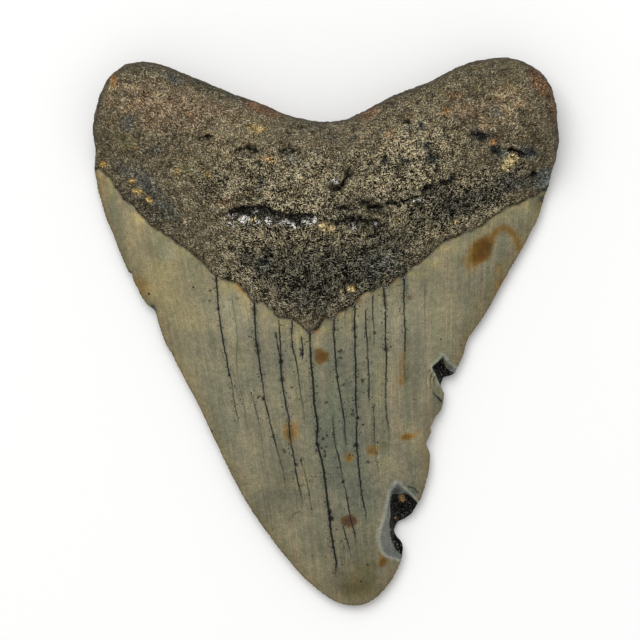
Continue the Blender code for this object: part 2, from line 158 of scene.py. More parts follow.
ENAMEL_LINE_PX = (
    (93, 169), (98, 168), (103, 173), (109.5, 179), (113.6, 186), (118, 191), (123, 199), (131, 204),
    (136, 210), (146, 221), (151, 226), (161, 231.5), (179, 244), (200, 260), (212, 273), (217.6, 276),
    (230, 281), (237.5, 284), (244.6, 291), (250, 298), (255, 302), (263.5, 302), (268, 307), (273, 310),
    (277.5, 317), (283, 317), (294, 320), (301, 325), (308, 331), (315, 330.5), (320, 326), (325, 318),
    (333, 319), (337, 315), (341, 310), (345, 309.6), (353.5, 305), (357.7, 298), (363, 293.5), (367.5, 292),
    (374.6, 290.7), (380, 286.5), (386, 287), (391, 283), (399, 276), (403.3, 279.5), (407, 273), (414, 266),
    (420, 262.5), (430.6, 253.5), (446, 241), (458, 236.6), (466, 232), (479.6, 227.5), (492, 218),
    (507, 208), (522.5, 202), (536, 195), (544, 191), (550, 189),
)
BACK_LINE_PX = (
    (93, 166), (112, 181), (150, 206), (190, 226), (230, 238), (280, 247), (326, 250), (375, 247),
    (420, 240), (460, 228), (500, 212), (530, 198), (550, 188),
)

# Chips: the break in the enamel, and the dark core inside it.
CHIP_LOW_PX = (
    (418.9, 502.6), (414, 496.9), (409.9, 492.4), (404.8, 487.6), (400.4, 483.2), (396.8, 481.6),
    (391, 490.5), (387.9, 501.3), (386.1, 511.1), (384.7, 518.2), (381.2, 526.3), (379.4, 536.1),
    (380.3, 545.9), (383.4, 553), (387.4, 556.4), (392.3, 558.2), (397.4, 560), (401.6, 561),
)
CORE_LOW_PX = (
    (418.4, 503.4), (413.4, 498.6), (409.4, 495.6), (405.3, 493.4), (400.6, 494.6), (396.4, 493.8),
    (393, 494.4), (391.6, 498), (391, 505.7), (391.5, 514.6), (390.2, 523.6), (391, 532.5), (392.5, 540.5),
    (396.8, 549.5), (399.6, 552.6), (402.6, 555),
)
CHIP_HIGH_PX = (
    (458.2, 367.4), (455.2, 366.3), (452.5, 364.4), (448.7, 359.9), (445.6, 356), (443.4, 354.6),
    (441, 357.8), (437, 361.6), (431.8, 366.8), (433.2, 370.6), (435.4, 373.4), (437, 377.2), (438.6, 381.6),
    (440, 385), (441.9, 386.6),
)
CORE_HIGH_PX = (
    (455.4, 373), (451.8, 371.6), (447.4, 368.2), (444.8, 363), (443.4, 357.4), (441.6, 359.4),
    (437.8, 362.8), (433.2, 366.6), (435.2, 371.2), (436.8, 373.6), (438.2, 377.2), (439.8, 381.4),
    (441.8, 384.6),
)
# The depth of the break's slope, and of the core below it.
CHIPS = ((CHIP_LOW_PX, CORE_LOW_PX, 1.3, 1.9), (CHIP_HIGH_PX, CORE_HIGH_PX, 0.8, 1.5))
CHIP_POINT_STEP, CHIP_REACH, PAST_THE_EDGE = 0.22, 2.5, (4.0, 0.0)
CORE_RUN, CORE_ROUGH_RUN = 0.9, 0.3
FLOOR_OF_CHIPS, CHIP_ABOVE_BACK = 0.9, 0.35
CHIP_RIM_PLACE, CHIP_RIM_WIDTH, CHIP_RIM_TINT = 0.06, 0.2, 0.8
CHIP_BACK_REACH = 0.7

# Cracks: path, width in pixels and darkness, both at the start and at the end.
CRACKS = (
    (((216, 277), (218, 297), (220, 321), (224, 345), (228, 369), (231, 381), (235, 405),
      (240, 430)), (1.5, 1.0), (1.0, 0.4)),
    (((232, 297), (237, 333), (237, 369), (244, 405), (249, 441)), (0.9, 0.8), (0.3, 0.22)),
    (((251, 393), (258, 417), (262, 441), (265, 465)), (0.9, 0.8), (0.4, 0.15)),
    (((254, 302), (255, 321), (257, 345), (261, 369), (264, 393), (269, 417), (275, 441), (282, 465),
      (287, 497)), (1.9, 0.9), (1.0, 0.35)),
    (((276, 333), (278, 345), (281, 361), (281, 369), (284, 393), (289, 417), (290, 435), (295, 463),
      (301, 494), (303, 514)), (1.5, 1.1), (0.8, 0.6)),
    (((279, 322), (281, 345), (281, 361)), (0.9, 1.2), (0.5, 0.8)),
    (((292, 321), (293, 345), (298, 369), (301, 393), (303, 405), (306, 430)), (1.2, 0.8), (0.9, 0.25)),
    (((302, 338), (303, 350), (303, 360)), (1.0, 1.0), (0.7, 0.6)),
    (((310, 331), (311, 357), (312, 369), (314, 393), (315, 405), (317, 417), (318, 429), (317, 441),
      (320, 453), (323, 465), (327, 493), (329, 509), (331, 528), (334, 549), (337, 563), (335.7, 574),
      (338.6, 584)), (1.7, 2.1), (1.0, 1.0)),
    (((334, 318), (335, 345), (337, 369), (340, 393), (344, 417), (346, 441),
      (348.6, 449)), (1.5, 1.0), (0.95, 0.6)),
    (((333, 417), (335, 441), (341, 466), (344, 480), (346, 491), (349, 509), (354, 529),
      (357, 546)), (1.1, 1.1), (0.5, 0.6)),
    (((343.6, 526), (347, 539), (351, 553), (351, 561)), (1.0, 0.9), (0.6, 0.3)),
    (((355, 303), (355, 345), (356, 369), (356, 393), (357, 417), (357, 441), (359, 464), (361, 483),
      (363, 497), (366, 511), (367, 531)), (1.7, 1.1), (1.0, 0.7)),
    (((345, 309), (346, 333), (346, 350)), (0.8, 0.8), (0.35, 0.15)),
    (((366, 311), (366, 321), (367, 345), (369, 369), (369, 393), (370, 405)), (1.1, 1.1), (0.7, 0.65)),
    (((374, 405), (375, 441), (377, 461), (380, 477)), (1.0, 0.9), (0.6, 0.25)),
    (((373, 296), (373, 320), (374, 333), (373, 352)), (1.3, 0.9), (0.65, 0.3)),
    (((384, 289), (386, 321), (386, 345), (387, 357), (386, 381), (386, 405), (387, 417), (389, 429),
      (390, 447)), (1.7, 1.0), (1.0, 0.4)),
    (((404, 279), (404, 297), (405, 321), (405, 369), (405, 388)), (1.5, 0.8), (1.0, 0.25)),
    (((425, 285), (426, 333)), (0.8, 0.8), (0.25, 0.12)),
    (((301, 459), (303, 466), (307, 481), (311, 503), (313, 514)), (1.0, 0.9), (0.5, 0.3)),
    (((300, 511), (293, 514), (289, 521)), (0.8, 0.8), (0.3, 0.25)),
    (((408.9, 486.7), (414, 488), (417, 490.8), (420.5, 493.4)), (1.3, 1.3), (0.5, 0.5)),
    (((434.1, 392.8), (438, 396.8), (443.7, 401.2)), (1.2, 1.8), (0.4, 1.0)),
    (((431, 368.5), (427.6, 376), (427.4, 385), (429.6, 393)), (0.8, 0.8), (0.3, 0.2)),
    (((434, 371), (431.2, 377), (431.2, 384), (433.4, 390.4)), (0.8, 0.8), (0.4, 0.2)),
    (((436.2, 375.6), (434.6, 381), (435.4, 387)), (0.8, 0.8), (0.45, 0.2)),
)
CRACK_DEPTH, CRACK_SIDE, CRACK_POINT_STEP = 0.9, 0.1, 0.22
CRACK_END, CRACK_HALF_SHARE, CRACK_UNEVEN, CRACK_WIDTHS = 0.12, 0.58, 1.3, (0.6, 1.9)
HALO_REACH = 1.7
BACK_CRACKS_PX = (
    ((300, 262), (306, 330), (312, 410), (320, 480)), ((262, 258), (270, 330), (284, 420)),
    ((352, 262), (354, 350), (360, 450), (362, 520)), ((398, 256), (396, 330), (392, 420)),
    ((222, 250), (232, 320), (244, 370)), ((440, 246), (430, 320)),
)
BACK_CRACK_WIDTH, BACK_CRACK_DARK, BACK_CRACK_DEPTH = (1.3, 0.9), (0.9, 0.2), 0.6

# Beads of dark filling and white specks: middle and radius in pixels.
DARK_BEADS = (
    (281, 360, 1.9), (317.5, 442.5, 2.0), (357.7, 417, 1.8), (356, 444.5, 2.0), (263.5, 398.6, 1.3),
    (295, 463.6, 1.4), (338.5, 375.6, 1.4), (356, 336, 1.2), (374.5, 333, 1.1), (229, 374.5, 1.2),
    (292.5, 387, 0.8), (344, 383, 0.9), (341.5, 349, 1.0), (340.5, 356, 1.0), (364, 379, 0.8),
    (367.6, 563.3, 0.8), (324, 437, 0.9), (326, 446, 0.8), (323.5, 451, 1.0), (328, 434, 0.6),
    (301, 460, 0.9), (343.5, 480, 1.2), (368, 460, 0.8), (352, 413, 0.8), (353.5, 408, 0.7),
    (325.5, 402.5, 0.7), (327.6, 401, 0.8), (361, 581, 0.7), (258, 397.5, 0.9), (331, 518, 2.6),
    (330, 511, 1.9), (334, 547, 1.3), (210, 290, 0.8), (218, 309, 0.9), (209.5, 300, 0.7), (378, 442, 0.7),
    (303, 349, 1.1), (304, 353, 0.8), (349, 455, 0.6), (286.5, 392, 0.6), (302.8, 352.5, 1.2),
    (391, 346, 0.8), (285.6, 449, 0.6), (325, 455, 1.2), (321, 447, 1.1),
)
WHITE_SPECKS = (
    (364, 481, 0.8), (376, 485, 0.9), (379, 456, 0.8), (385, 310, 1.3), (394.6, 542.3, 0.8), (391, 530, 0.7),
    (374.5, 557.8, 0.8), (378, 556.2, 0.8), (293, 360, 0.5), (207, 302, 0.6), (372, 479, 0.6),
    (398, 545, 0.6),
)

# Slot and furrows of the root: a steep upper rim, and a lower side that climbs gently.
SLOT_UPPER_PX = (
    (227, 212.5), (231, 208.5), (236, 207.6), (246, 206.6), (254, 204.6), (261, 204), (268, 206),
    (274, 210.4), (284, 214), (298, 214.6), (310, 213.6), (317, 215.4), (320, 219.5),
)
SLOT_LOWER_PX = (
    (227, 212.5), (230, 217), (235, 221), (240, 224.4), (248, 226), (262, 224), (273, 226), (283, 228.4),
    (294.6, 230.8), (302, 229), (310, 226.4), (317, 224), (320, 219.5),
)
SLOT_STEEP, SLOT_GENTLE, SLOT_DEPTH, SLOT_DEPTH_RIGHT = 0.45, 2.0, 1.6, 1.3
# How far in from the slot's upper and lower rims its painted shade grows to full.
SLOT_SHADE_ABOVE, SLOT_SHADE_BELOW = 0.2, 0.5
SLOT_X, SLOT_X_RUN = -10.0, 5.0
# Furrows: path, half width and depth in millimetres.
FURROWS = (
    (((317, 221), (322, 222.6), (329, 223.6)), 0.3, 0.5),
    (((325, 224), (332, 223.6), (342, 223), (352, 222.6), (364, 224), (374, 225), (386, 225.4)), 0.7, 1.1),
    (((344, 221.6), (352, 221.4), (362, 222.4)), 0.9, 1.2),
    (((331, 208), (338, 209.6), (345, 209), (351, 206)), 0.45, 0.8),
    (((354, 198), (361, 200), (368, 202.4), (377, 204)), 0.65, 1.0),
    (((364, 207), (372, 209), (381, 208), (390, 204.6)), 0.8, 1.3),
    (((384, 203.6), (392, 204), (400, 203.2), (410, 199.8), (419, 197)), 0.3, 0.7),
    (((418, 197), (424, 191.6), (430, 187), (437, 182)), 0.7, 0.8),
    (((437, 187), (445, 183.4), (455, 179), (461, 178)), 0.6, 0.7),
    (((436, 208.6), (448, 207), (459, 202)), 1.0, 0.45),
    (((400, 126), (405, 122.6), (410, 118.6)), 0.3, 0.5),
    (((469, 135), (476, 135.4), (484, 137.4), (491, 138.4)), 0.5, 0.45),
    (((490, 146), (497, 151.6), (503, 156)), 0.5, 0.5),
    (((506, 150.4), (514, 151), (521, 153.6), (528, 157)), 0.45, 0.8),
    (((278, 268), (278, 288)), 0.25, -0.25),
    (((439, 166), (437.6, 171), (435, 174.6)), 0.28, 0.6),
    (((464, 126), (472, 119), (479, 116)), 0.5, -0.35),
    (((234, 155), (239, 150), (246, 147.6), (254, 148.6), (260, 153)), 0.32, 0.7),
    (((278, 156), (283, 150.4), (290, 148.4), (297, 150.6), (303, 156)), 0.42, 1.0),
    (((198, 142), (204, 137.4), (210, 136.4), (216, 139.6)), 0.32, 0.6),
    (((258, 168), (264, 165), (270, 166)), 0.3, 0.4),
    (((332, 152), (338, 149), (344, 151)), 0.3, 0.4),
    (((328, 183), (331.6, 187), (336.6, 188.4), (341.4, 186), (345, 182), (347.6, 177), (348, 172),
      (345.6, 168.6)), 0.6, 1.7),
)
FURROW_POINT_STEP, FURROW_REACH, FURROW_LOWER_SIDE, FURROW_END = 0.3, 3.0, 1.9, 2.2
CRUMBLED_WIDTHS = (0.35, 1.9)
# Pits: middle and half sizes in pixels, turn in degrees, depth in millimetres.
PITS = (
    (251, 154, 13, 7, 0, 0.35), (290, 154, 11, 6, 0, 0.4), (345, 207, 30, 14, 0, 0.3),
    (171, 166, 2.8, 3.4, 0, 0.5), (428, 148.5, 8, 6.6, -30, 0.6), (433, 160, 11, 7, 18, 0.75),
    (384, 161.5, 6, 5.4, 0, 0.7), (403, 161.5, 6, 3, 0, 0.4), (413.5, 162, 3, 2.8, 0, 0.6),
    (418, 143, 3.2, 2.6, 0, 0.4), (421.5, 127.5, 3.4, 6, 10, 0.5), (513, 165, 11, 9, 0, 0.8),
    (535.5, 175.5, 5.4, 5, 0, 0.9), (314, 179, 4.5, 2.6, 0, 0.5), (262, 184, 4.6, 9, 0, 0.4),
    (226, 186, 2.4, 1.8, 0, 0.5), (302, 197, 3, 2, 0, 0.4), (318, 192, 2.6, 1.8, 10, 0.4),
    (240, 196, 5, 2.2, -10, 0.5), (371, 152, 2.6, 2, 0, 0.4), (350, 140, 3, 2, 0, 0.4),
    (395, 179, 4, 2, 15, 0.5), (460, 212, 3, 2, 20, 0.4), (395, 193, 3.6, 1.6, 10, 0.4),
    (160, 190, 3, 2, -20, 0.4), (264, 243, 2.4, 2, 0, 0.4), (345, 262, 4, 2.4, 0, 0.5),
    (290, 252, 3, 2, 0, 0.4),
)
PIT_SOFT = 0.75
PORES = 1500
PORE_RADIUS, PORE_DEPTH = (0.22, 0.62), (0.12, 0.4)
PORE_SIZE_POWER, PORE_NARROWEST, PORES_FROM_LINE = 2.2, 0.6, 0.3

# Spacing of the points, in millimetres.
MARGIN_STEP, EDGE_STEP, WHOLE_EDGE_STEP, BACK_LINE_STEP, ENAMEL_LINE_STEP = 0.26, 0.16, 0.8, 0.4, 0.22
ROOT_STEP, FINE_STEP, ENAMEL_STEP_APART, STAIN_STEP = 0.272, 0.2, 0.52, 0.3
BACK_ROOT_STEP, BACK_ENAMEL_STEP, BACK_RIM_STEP, BACK_RIM = 0.62, 1.0, 0.4, 1.2
FINE_MARGIN, FINE_REACH, STAIN_MARGIN_PX = 1.0, 0.8, 2.5
ENAMEL_LINE_ROWS = (-0.7, -0.35, -0.15, 0.15, 0.35, 0.6)
BACK_LINE_ROWS, CHIP_ROWS = (-0.5, -0.2, 0.2, 0.5), (-0.14, 0.14)
# Rows inside the cutting edge: how far in, and which of the points are kept.
EDGE_ROWS = ((0.16, 1), (0.34, 2), (0.62, 2), (1.0, 2))
RING_CLEARANCE, ROW_CLEARANCE, BACK_ROW_CLEARANCE = 0.12, 0.09, 0.3
CLEARANCE, BACK_CLEARANCE = 0.55, 0.6
RINGLET_POINTS, RINGLET_STEP_PX = 6, 0.8
WALL_ROWS = 2
LEAST_WALL = 0.05
BOX_INSET = 0.01

# Serrations of the cutting edges.
SERRATION, SERRATION_DEPTH, SERRATION_REACH, SERRATION_END = 0.9, 0.13, 1.1, 2.5
SERRATION_BASE, MEAN_WEAR, TICKS, TICKS_STRETCH = 0.6, 0.55, 0.05, 1.12
EDGE_ROUND = 0.7

# Tones, linear.
BROWN = (0.119, 0.096, 0.056)
TAN = (0.176, 0.140, 0.082)
PINK_TAN = (0.203, 0.141, 0.087)
GREY_BROWN = (0.094, 0.080, 0.050)
DARK = (0.020, 0.0168, 0.0120)
BLACK = (0.0045, 0.0042, 0.004)
SLATE = (0.070, 0.074, 0.066)
BLUE_DARK = (0.030, 0.034, 0.036)
OLIVE = (0.165, 0.148, 0.070)
RUST = (0.170, 0.088, 0.043)
ORANGE = (0.330, 0.170, 0.055)
GOLD = (0.420, 0.270, 0.080)
CREAM = (0.460, 0.360, 0.190)
BLUE_GREY = (0.115, 0.126, 0.118)
ENAMEL = (0.218, 0.198, 0.124)
ENAMEL_WARM = (0.276, 0.234, 0.113)
ENAMEL_PALE = (0.312, 0.288, 0.182)
ENAMEL_GREY = (0.114, 0.124, 0.090)
ENAMEL_YELLOW = (0.340, 0.285, 0.130)
ENAMEL_LOW = (0.122, 0.115, 0.072)
TIP_OLIVE = (0.102, 0.086, 0.035)
AMBER = (0.235, 0.135, 0.030)
AMBER_DEEP = (0.118, 0.058, 0.007)
RED_BROWN = (0.066, 0.026, 0.007)
EDGE_TAN_AND_SHADE = (0.178, 0.149, 0.080)
EDGE_OLIVE = (0.122, 0.086, 0.031)
WHITE_SPECK = (0.42, 0.42, 0.38)
SECTION = (0.122, 0.132, 0.118)
SECTION_RIM = (0.330, 0.350, 0.290)

# Patches, group by group: x, y, half width, half height, turn, strength, softness.
ROOT_PATCHES = (
    (PINK_TAN, (
        (160, 108, 84, 34, -8, 0.9, 1.0), (500, 110, 50, 24, 14, 0.6, 1.0),
        (222, 112, 34, 10, -24, 0.6, 0.9), (312, 184, 11, 8, 0, 0.5, 0.9),
        (466, 112, 28, 12, 14, 0.6, 0.9))),
    (TAN, (
        (230, 142, 62, 28, -6, 0.6, 1.0), (290, 190, 52, 20, 0, 0.6, 1.0), (420, 135, 66, 38, 16, 0.6, 1.0),
        (507, 112, 38, 22, 14, 0.8, 1.0), (147, 130, 14, 12, 0, 0.4, 0.9), (290, 241, 66, 11, 0, 0.45, 0.9),
        (385, 187, 64, 17, 8, 0.4, 1.0))),
    # Grey-brown, most of it along the root's margin: partly its own colour, partly painted shade where the
    # rim turns down.
    (GREY_BROWN, (
        (150, 70, 48, 11, -10, 0.8, 0.9), (205, 88, 38, 9, -24, 0.9, 0.9), (99, 122, 12, 46, 0, 0.3, 0.8),
        (315, 127, 52, 13, 0, 0.9, 0.9), (490, 72, 50, 16, 8, 0.7, 1.0), (549, 132, 12, 38, 0, 0.6, 0.9),
        (405, 96, 56, 10, 26, 0.6, 0.9), (190, 228, 60, 18, -33, 0.6, 1.0))),
    (OLIVE, (
        (124, 143, 14, 12, 0, 0.6, 0.9), (190, 170, 28, 17, 0, 0.35, 1.0), (349, 190, 8, 10, 0, 0.5, 0.9),
        (517, 65, 10, 5, 0, 0.5, 0.9), (437, 180, 30, 8, 20, 0.25, 0.9), (120, 100, 16, 9, 0, 0.25, 0.9))),
    # Dark: partly the stone's own colour, and partly painted shade on the lower slopes that face away from
    # the lamp, below the slot and the ridge on the right, in the crescents over shallow hollows and on pits
    # and furrows.
    (DARK, (
        (374, 266, 66, 34, 22, 0.95, 1.0), (262, 266, 46, 24, -30, 0.85, 1.0),
        (318, 280, 90, 50, 0, 0.9, 1.0), (310, 262, 100, 24, 0, 0.6, 1.0), (446, 208, 22, 14, 20, 0.5, 0.9),
        (150, 212, 74, 24, -35, 0.55, 1.0), (466, 202, 70, 22, 20, 0.95, 0.9),
        (515, 182, 36, 14, 12, 0.8, 0.9), (207, 188, 22, 15, -20, 0.5, 0.9),
        (400, 232, 60, 20, 24, 0.5, 1.0), (353, 224, 34, 9, 0, 0.6, 0.9), (376, 207, 20, 7, 0, 0.6, 0.9),
        (345, 213, 26, 7, 0, 0.4, 1.0), (372, 206, 24, 6, 0, 0.5, 1.0), (405, 202, 26, 5, 6, 0.5, 1.0),
        (430, 190, 16, 7, 34, 0.6, 0.9), (452, 181, 20, 5, 22, 0.5, 0.9), (456, 204, 26, 11, 16, 0.6, 1.0),
        (478, 204, 44, 14, 22, 0.4, 1.0), (207, 141, 12, 4.4, -8, 0.35, 0.9), (248, 154, 12, 6, 8, 0.3, 0.9),
        (433, 196, 30, 9, 24, 0.5, 0.9), (495, 137.5, 6, 3.6, 0, 0.8, 0.7), (405, 122, 7, 3, 38, 0.85, 0.7),
        (418, 143, 3.8, 3.2, 0, 0.75, 0.8), (171, 166, 3.4, 4, 0, 0.8, 0.8), (320, 182, 9, 4, 0, 0.35, 0.9),
        (372, 240, 34, 12, 10, 0.4, 1.0), (312, 302, 44, 30, 0, 0.85, 1.0))),
    (SLATE, (
        (175, 80, 17, 7, -25, 0.8, 0.8), (129, 124, 13, 12, 0, 0.8, 0.8), (142, 180, 34, 16, -35, 0.7, 0.9),
        (120, 168, 14, 10, -30, 0.6, 0.9), (164, 206, 30, 14, -35, 0.7, 0.9), (293, 161, 11, 6, 0, 0.6, 0.9),
        (498, 152, 14, 8, -38, 0.9, 0.8), (514, 183, 30, 13, 0, 0.5, 0.9), (528, 152, 17, 12, 0, 0.6, 0.8),
        (494, 113, 10, 10, 0, 0.8, 0.9), (385, 262, 30, 18, 20, 0.5, 0.9), (232, 96, 18, 6, -22, 0.5, 0.9))),
    (BLUE_DARK, (
        (155, 152, 15, 10, 10, 0.6, 0.9), (262, 184, 6, 13, -6, 0.85, 0.8), (332, 140, 12, 7, 0, 0.6, 0.9),
        (352, 141, 9, 5, 0, 0.5, 0.9), (382, 131, 4.6, 5, 0, 0.6, 0.9), (421.5, 127.5, 4.6, 8, 10, 0.8, 0.7),
        (428, 148.5, 9, 8, -30, 0.8, 0.8), (433, 160, 13, 8.4, 18, 0.8, 0.8),
        (384, 161.5, 9, 8, 0, 0.85, 0.8), (403, 161.5, 10, 5, 0, 0.7, 0.8), (480, 137, 18, 9, -10, 0.9, 0.8),
        (529, 153, 15, 11, -20, 0.85, 0.8), (375, 266, 26, 15, 12, 0.5, 0.9),
        (264, 264, 12, 9, 20, 0.7, 0.9), (150, 188, 16, 9, -35, 0.5, 0.9))),
    (RUST, (
        (263, 109, 30, 8.5, -20, 0.85, 0.7), (369, 112, 15, 8, 32, 0.85, 0.8),
        (226, 203, 17, 8, -8, 0.65, 0.9), (192, 117, 14, 6, -30, 0.35, 0.9), (454, 97, 13, 8, 15, 0.6, 0.9),
        (484, 127, 4.6, 9, 0, 0.6, 0.9), (541, 84, 12, 26, 36, 0.85, 0.8), (553, 108, 6, 26, 4, 0.7, 0.9),
        (315, 177, 7, 4, 0, 0.45, 0.9), (536, 176, 5, 5, 0, 0.5, 0.8), (500, 138, 7, 4, 0, 0.4, 0.9),
        (413, 116, 4, 4, 0, 0.5, 0.9))),
    (ORANGE, (
        (114, 81, 5.4, 12, 6, 0.9, 0.8), (270, 161, 8.4, 5, -10, 0.6, 0.8), (446, 112, 6, 8, 0, 0.7, 0.9),
        (520, 107, 5.4, 4.6, 0, 0.6, 0.8), (493, 143.6, 4.2, 4.6, 0, 0.9, 0.8),
        (389, 135, 8, 6, 0, 0.4, 0.9), (325, 229, 9.4, 7, 0, 0.7, 0.8), (410, 118, 3, 2.4, 0, 0.5, 0.8))),
    (GOLD, (
        (257, 129.5, 14, 6.4, -8, 0.7, 0.9), (179, 172, 6, 6, 0, 0.4, 0.9),
        (131.5, 181.5, 4.4, 3.4, 0, 0.95, 0.5), (137, 191.5, 7, 3.6, -20, 0.95, 0.5),
        (148.5, 200, 5, 3.8, -35, 0.95, 0.6), (102, 163.5, 5, 4.6, 0, 0.9, 0.6),
        (398, 221, 4.4, 3, 0, 0.5, 0.8), (457, 221.5, 5, 2.8, 20, 0.6, 0.8),
        (352, 288, 5.6, 4.6, 20, 0.9, 0.7), (209, 176, 7, 6, 0, 0.3, 0.9))),
    (CREAM, (
        (505, 100, 40, 28, 10, 0.13, 1.0), (236, 128, 34, 18, -8, 0.12, 1.0),
        (155, 112, 60, 28, 0, 0.06, 1.0), (258, 129, 9, 4.4, 0, 0.5, 0.9), (113, 90, 7, 3.4, 0, 0.6, 0.8),
        (131, 88.5, 16, 4, -4, 0.3, 0.9), (185, 222, 3.4, 4.4, 0, 0.6, 0.8),
        (343, 291.5, 3, 2.8, 0, 0.8, 0.7), (334, 245, 3, 2.4, 0, 0.4, 0.8), (341, 193, 6, 5, 0, 0.35, 0.9),
        (482, 118, 8, 4, 40, 0.4, 0.9))),
    # Black spots, most of them over pits and furrows, darken these hollows as painted shade; the one at
    # (289, 152) is a painted crescent of shadow.
    (BLACK, (
        (289, 152, 8, 3.4, 0, 0.5, 0.9), (439.6, 157, 3, 2, 0, 0.9, 0.6), (413.5, 162, 3.2, 3, 0, 0.9, 0.6),
        (437, 170.5, 2.6, 5, 14, 0.8, 0.7), (513, 151.6, 10, 3, -10, 0.95, 0.6),
        (521, 166.6, 3.4, 4.4, 0, 0.95, 0.6), (535.6, 175.6, 5, 3.6, -40, 0.9, 0.6),
        (543.5, 195, 4.5, 5, -20, 0.9, 0.6))),
    (SLATE, ((545, 179, 12, 19, -14, 1.0, 0.5),)),
    (BLUE_GREY, ((549, 176, 6, 11, -14, 0.5, 0.8),)),
)
# How strong the speckle is: patches over a base of ROUGH_BASE.
ROUGH_BASE = 0.36
ROUGH_PATCHES = (
    (0.85, ((290, 190, 130, 56, 0, 1.0, 0.8), (410, 160, 80, 46, 16, 1.0, 0.8))),
    (1.6, (
        (318, 264, 125, 64, 0, 1.0, 0.7), (450, 205, 86, 34, 20, 1.0, 0.7), (290, 222, 86, 26, 0, 1.0, 0.8),
        (513, 166, 18, 16, 0, 0.7, 0.7), (395, 190, 50, 26, 10, 0.7, 0.9))),
    (0.26, (
        (116, 128, 44, 62, 0, 0.9, 1.0), (500, 78, 60, 26, 6, 0.9, 1.0), (190, 92, 60, 12, -24, 0.7, 1.0),
        (545, 125, 18, 40, 0, 0.8, 1.0))),
)
# Crystals: middle, half sizes, turn, share of the ground they cover.
WHITE_CRYSTALS = (
    (250, 214, 6, 4.6, 30, 0.8), (244.5, 220.8, 9, 5.4, -20, 1.0), (232, 216, 6, 4, 0, 0.5),
    (231, 225.6, 5.6, 4.4, 0, 1.0), (258, 224.6, 5, 3.6, 0, 0.9), (268, 222.8, 7.4, 5.4, 0, 1.0),
    (276.4, 223.6, 5, 3.6, 0, 0.7), (284.4, 225, 7, 4.6, 0, 1.0), (294.4, 227, 8, 5.6, -20, 1.0),
    (306.6, 222.8, 6, 6, 30, 1.0), (314.6, 221.4, 5.6, 5, 0, 1.0), (336.6, 182.6, 5.6, 2.6, 12, 1.0),
    (353.4, 230.4, 8, 3.4, -4, 0.9), (377, 228.6, 6, 3, 0, 0.7), (378, 212.4, 7, 2.2, 0, 0.8),
    (419, 201.4, 11, 2.2, 2, 1.0), (408, 128, 4, 2.6, 0, 0.6),
)
GOLD_CRYSTALS = (
    (511, 164, 14, 10, 40, 1.0), (516, 158, 6, 5, 30, 1.0), (326, 229.5, 11, 7.6, -10, 0.8),
    (402.3, 499, 5, 6.4, 20, 1.0), (396, 518, 3.2, 3, 0, 0.7), (352, 288.5, 6, 5, 20, 0.55),
    (253.4, 221.5, 4, 4, 0, 0.9), (137, 193.5, 5, 4, 0, 0.5),
)
CRYSTAL_SOFT, WHITE_SWAY, GOLD_SWAY = 0.7, 0.6, 0.4
# Ground tints of the crown, then its stains.
ENAMEL_TINTS = (
    (ENAMEL_WARM, ((150, 288, 62, 100, 28, 0.85, 1.0), (492, 300, 22, 60, -28, 0.6, 1.0))),
    (ENAMEL_PALE, (
        (236, 315, 50, 36, -40, 0.8, 0.9), (392, 322, 70, 46, 30, 0.75, 0.9),
        (168, 246, 26, 16, -38, 0.7, 0.9), (425, 345, 30, 40, -20, 0.3, 1.0),
        (240, 400, 40, 80, 24, 0.2, 1.0))),
    (ENAMEL_GREY, (
        (338, 428, 44, 120, 6, 0.95, 0.9), (366, 505, 44, 56, 10, 0.55, 1.0),
        (264, 372, 36, 90, 4, 0.55, 1.0), (414, 372, 26, 74, 0, 0.5, 1.0), (112, 214, 12, 36, 20, 0.4, 1.0),
        (228, 440, 30, 56, 28, 0.3, 1.0), (284, 372, 9, 46, 4, 0.35, 0.9), (418, 478, 20, 40, -10, 0.4, 1.0),
        (430, 415, 22, 36, -14, 0.35, 1.0), (355, 348, 60, 22, 0, 0.2, 1.0))),
    (ENAMEL_LOW, (
        (345, 556, 66, 48, 0, 0.85, 1.0), (284, 492, 44, 60, -20, 0.7, 1.0),
        (350, 545, 60, 40, 0, 0.3, 1.0))),
    (TIP_OLIVE, ((360, 590, 40, 34, -15, 1.0, 0.9), (372, 566, 22, 16, 0, 0.4, 1.0))),
)
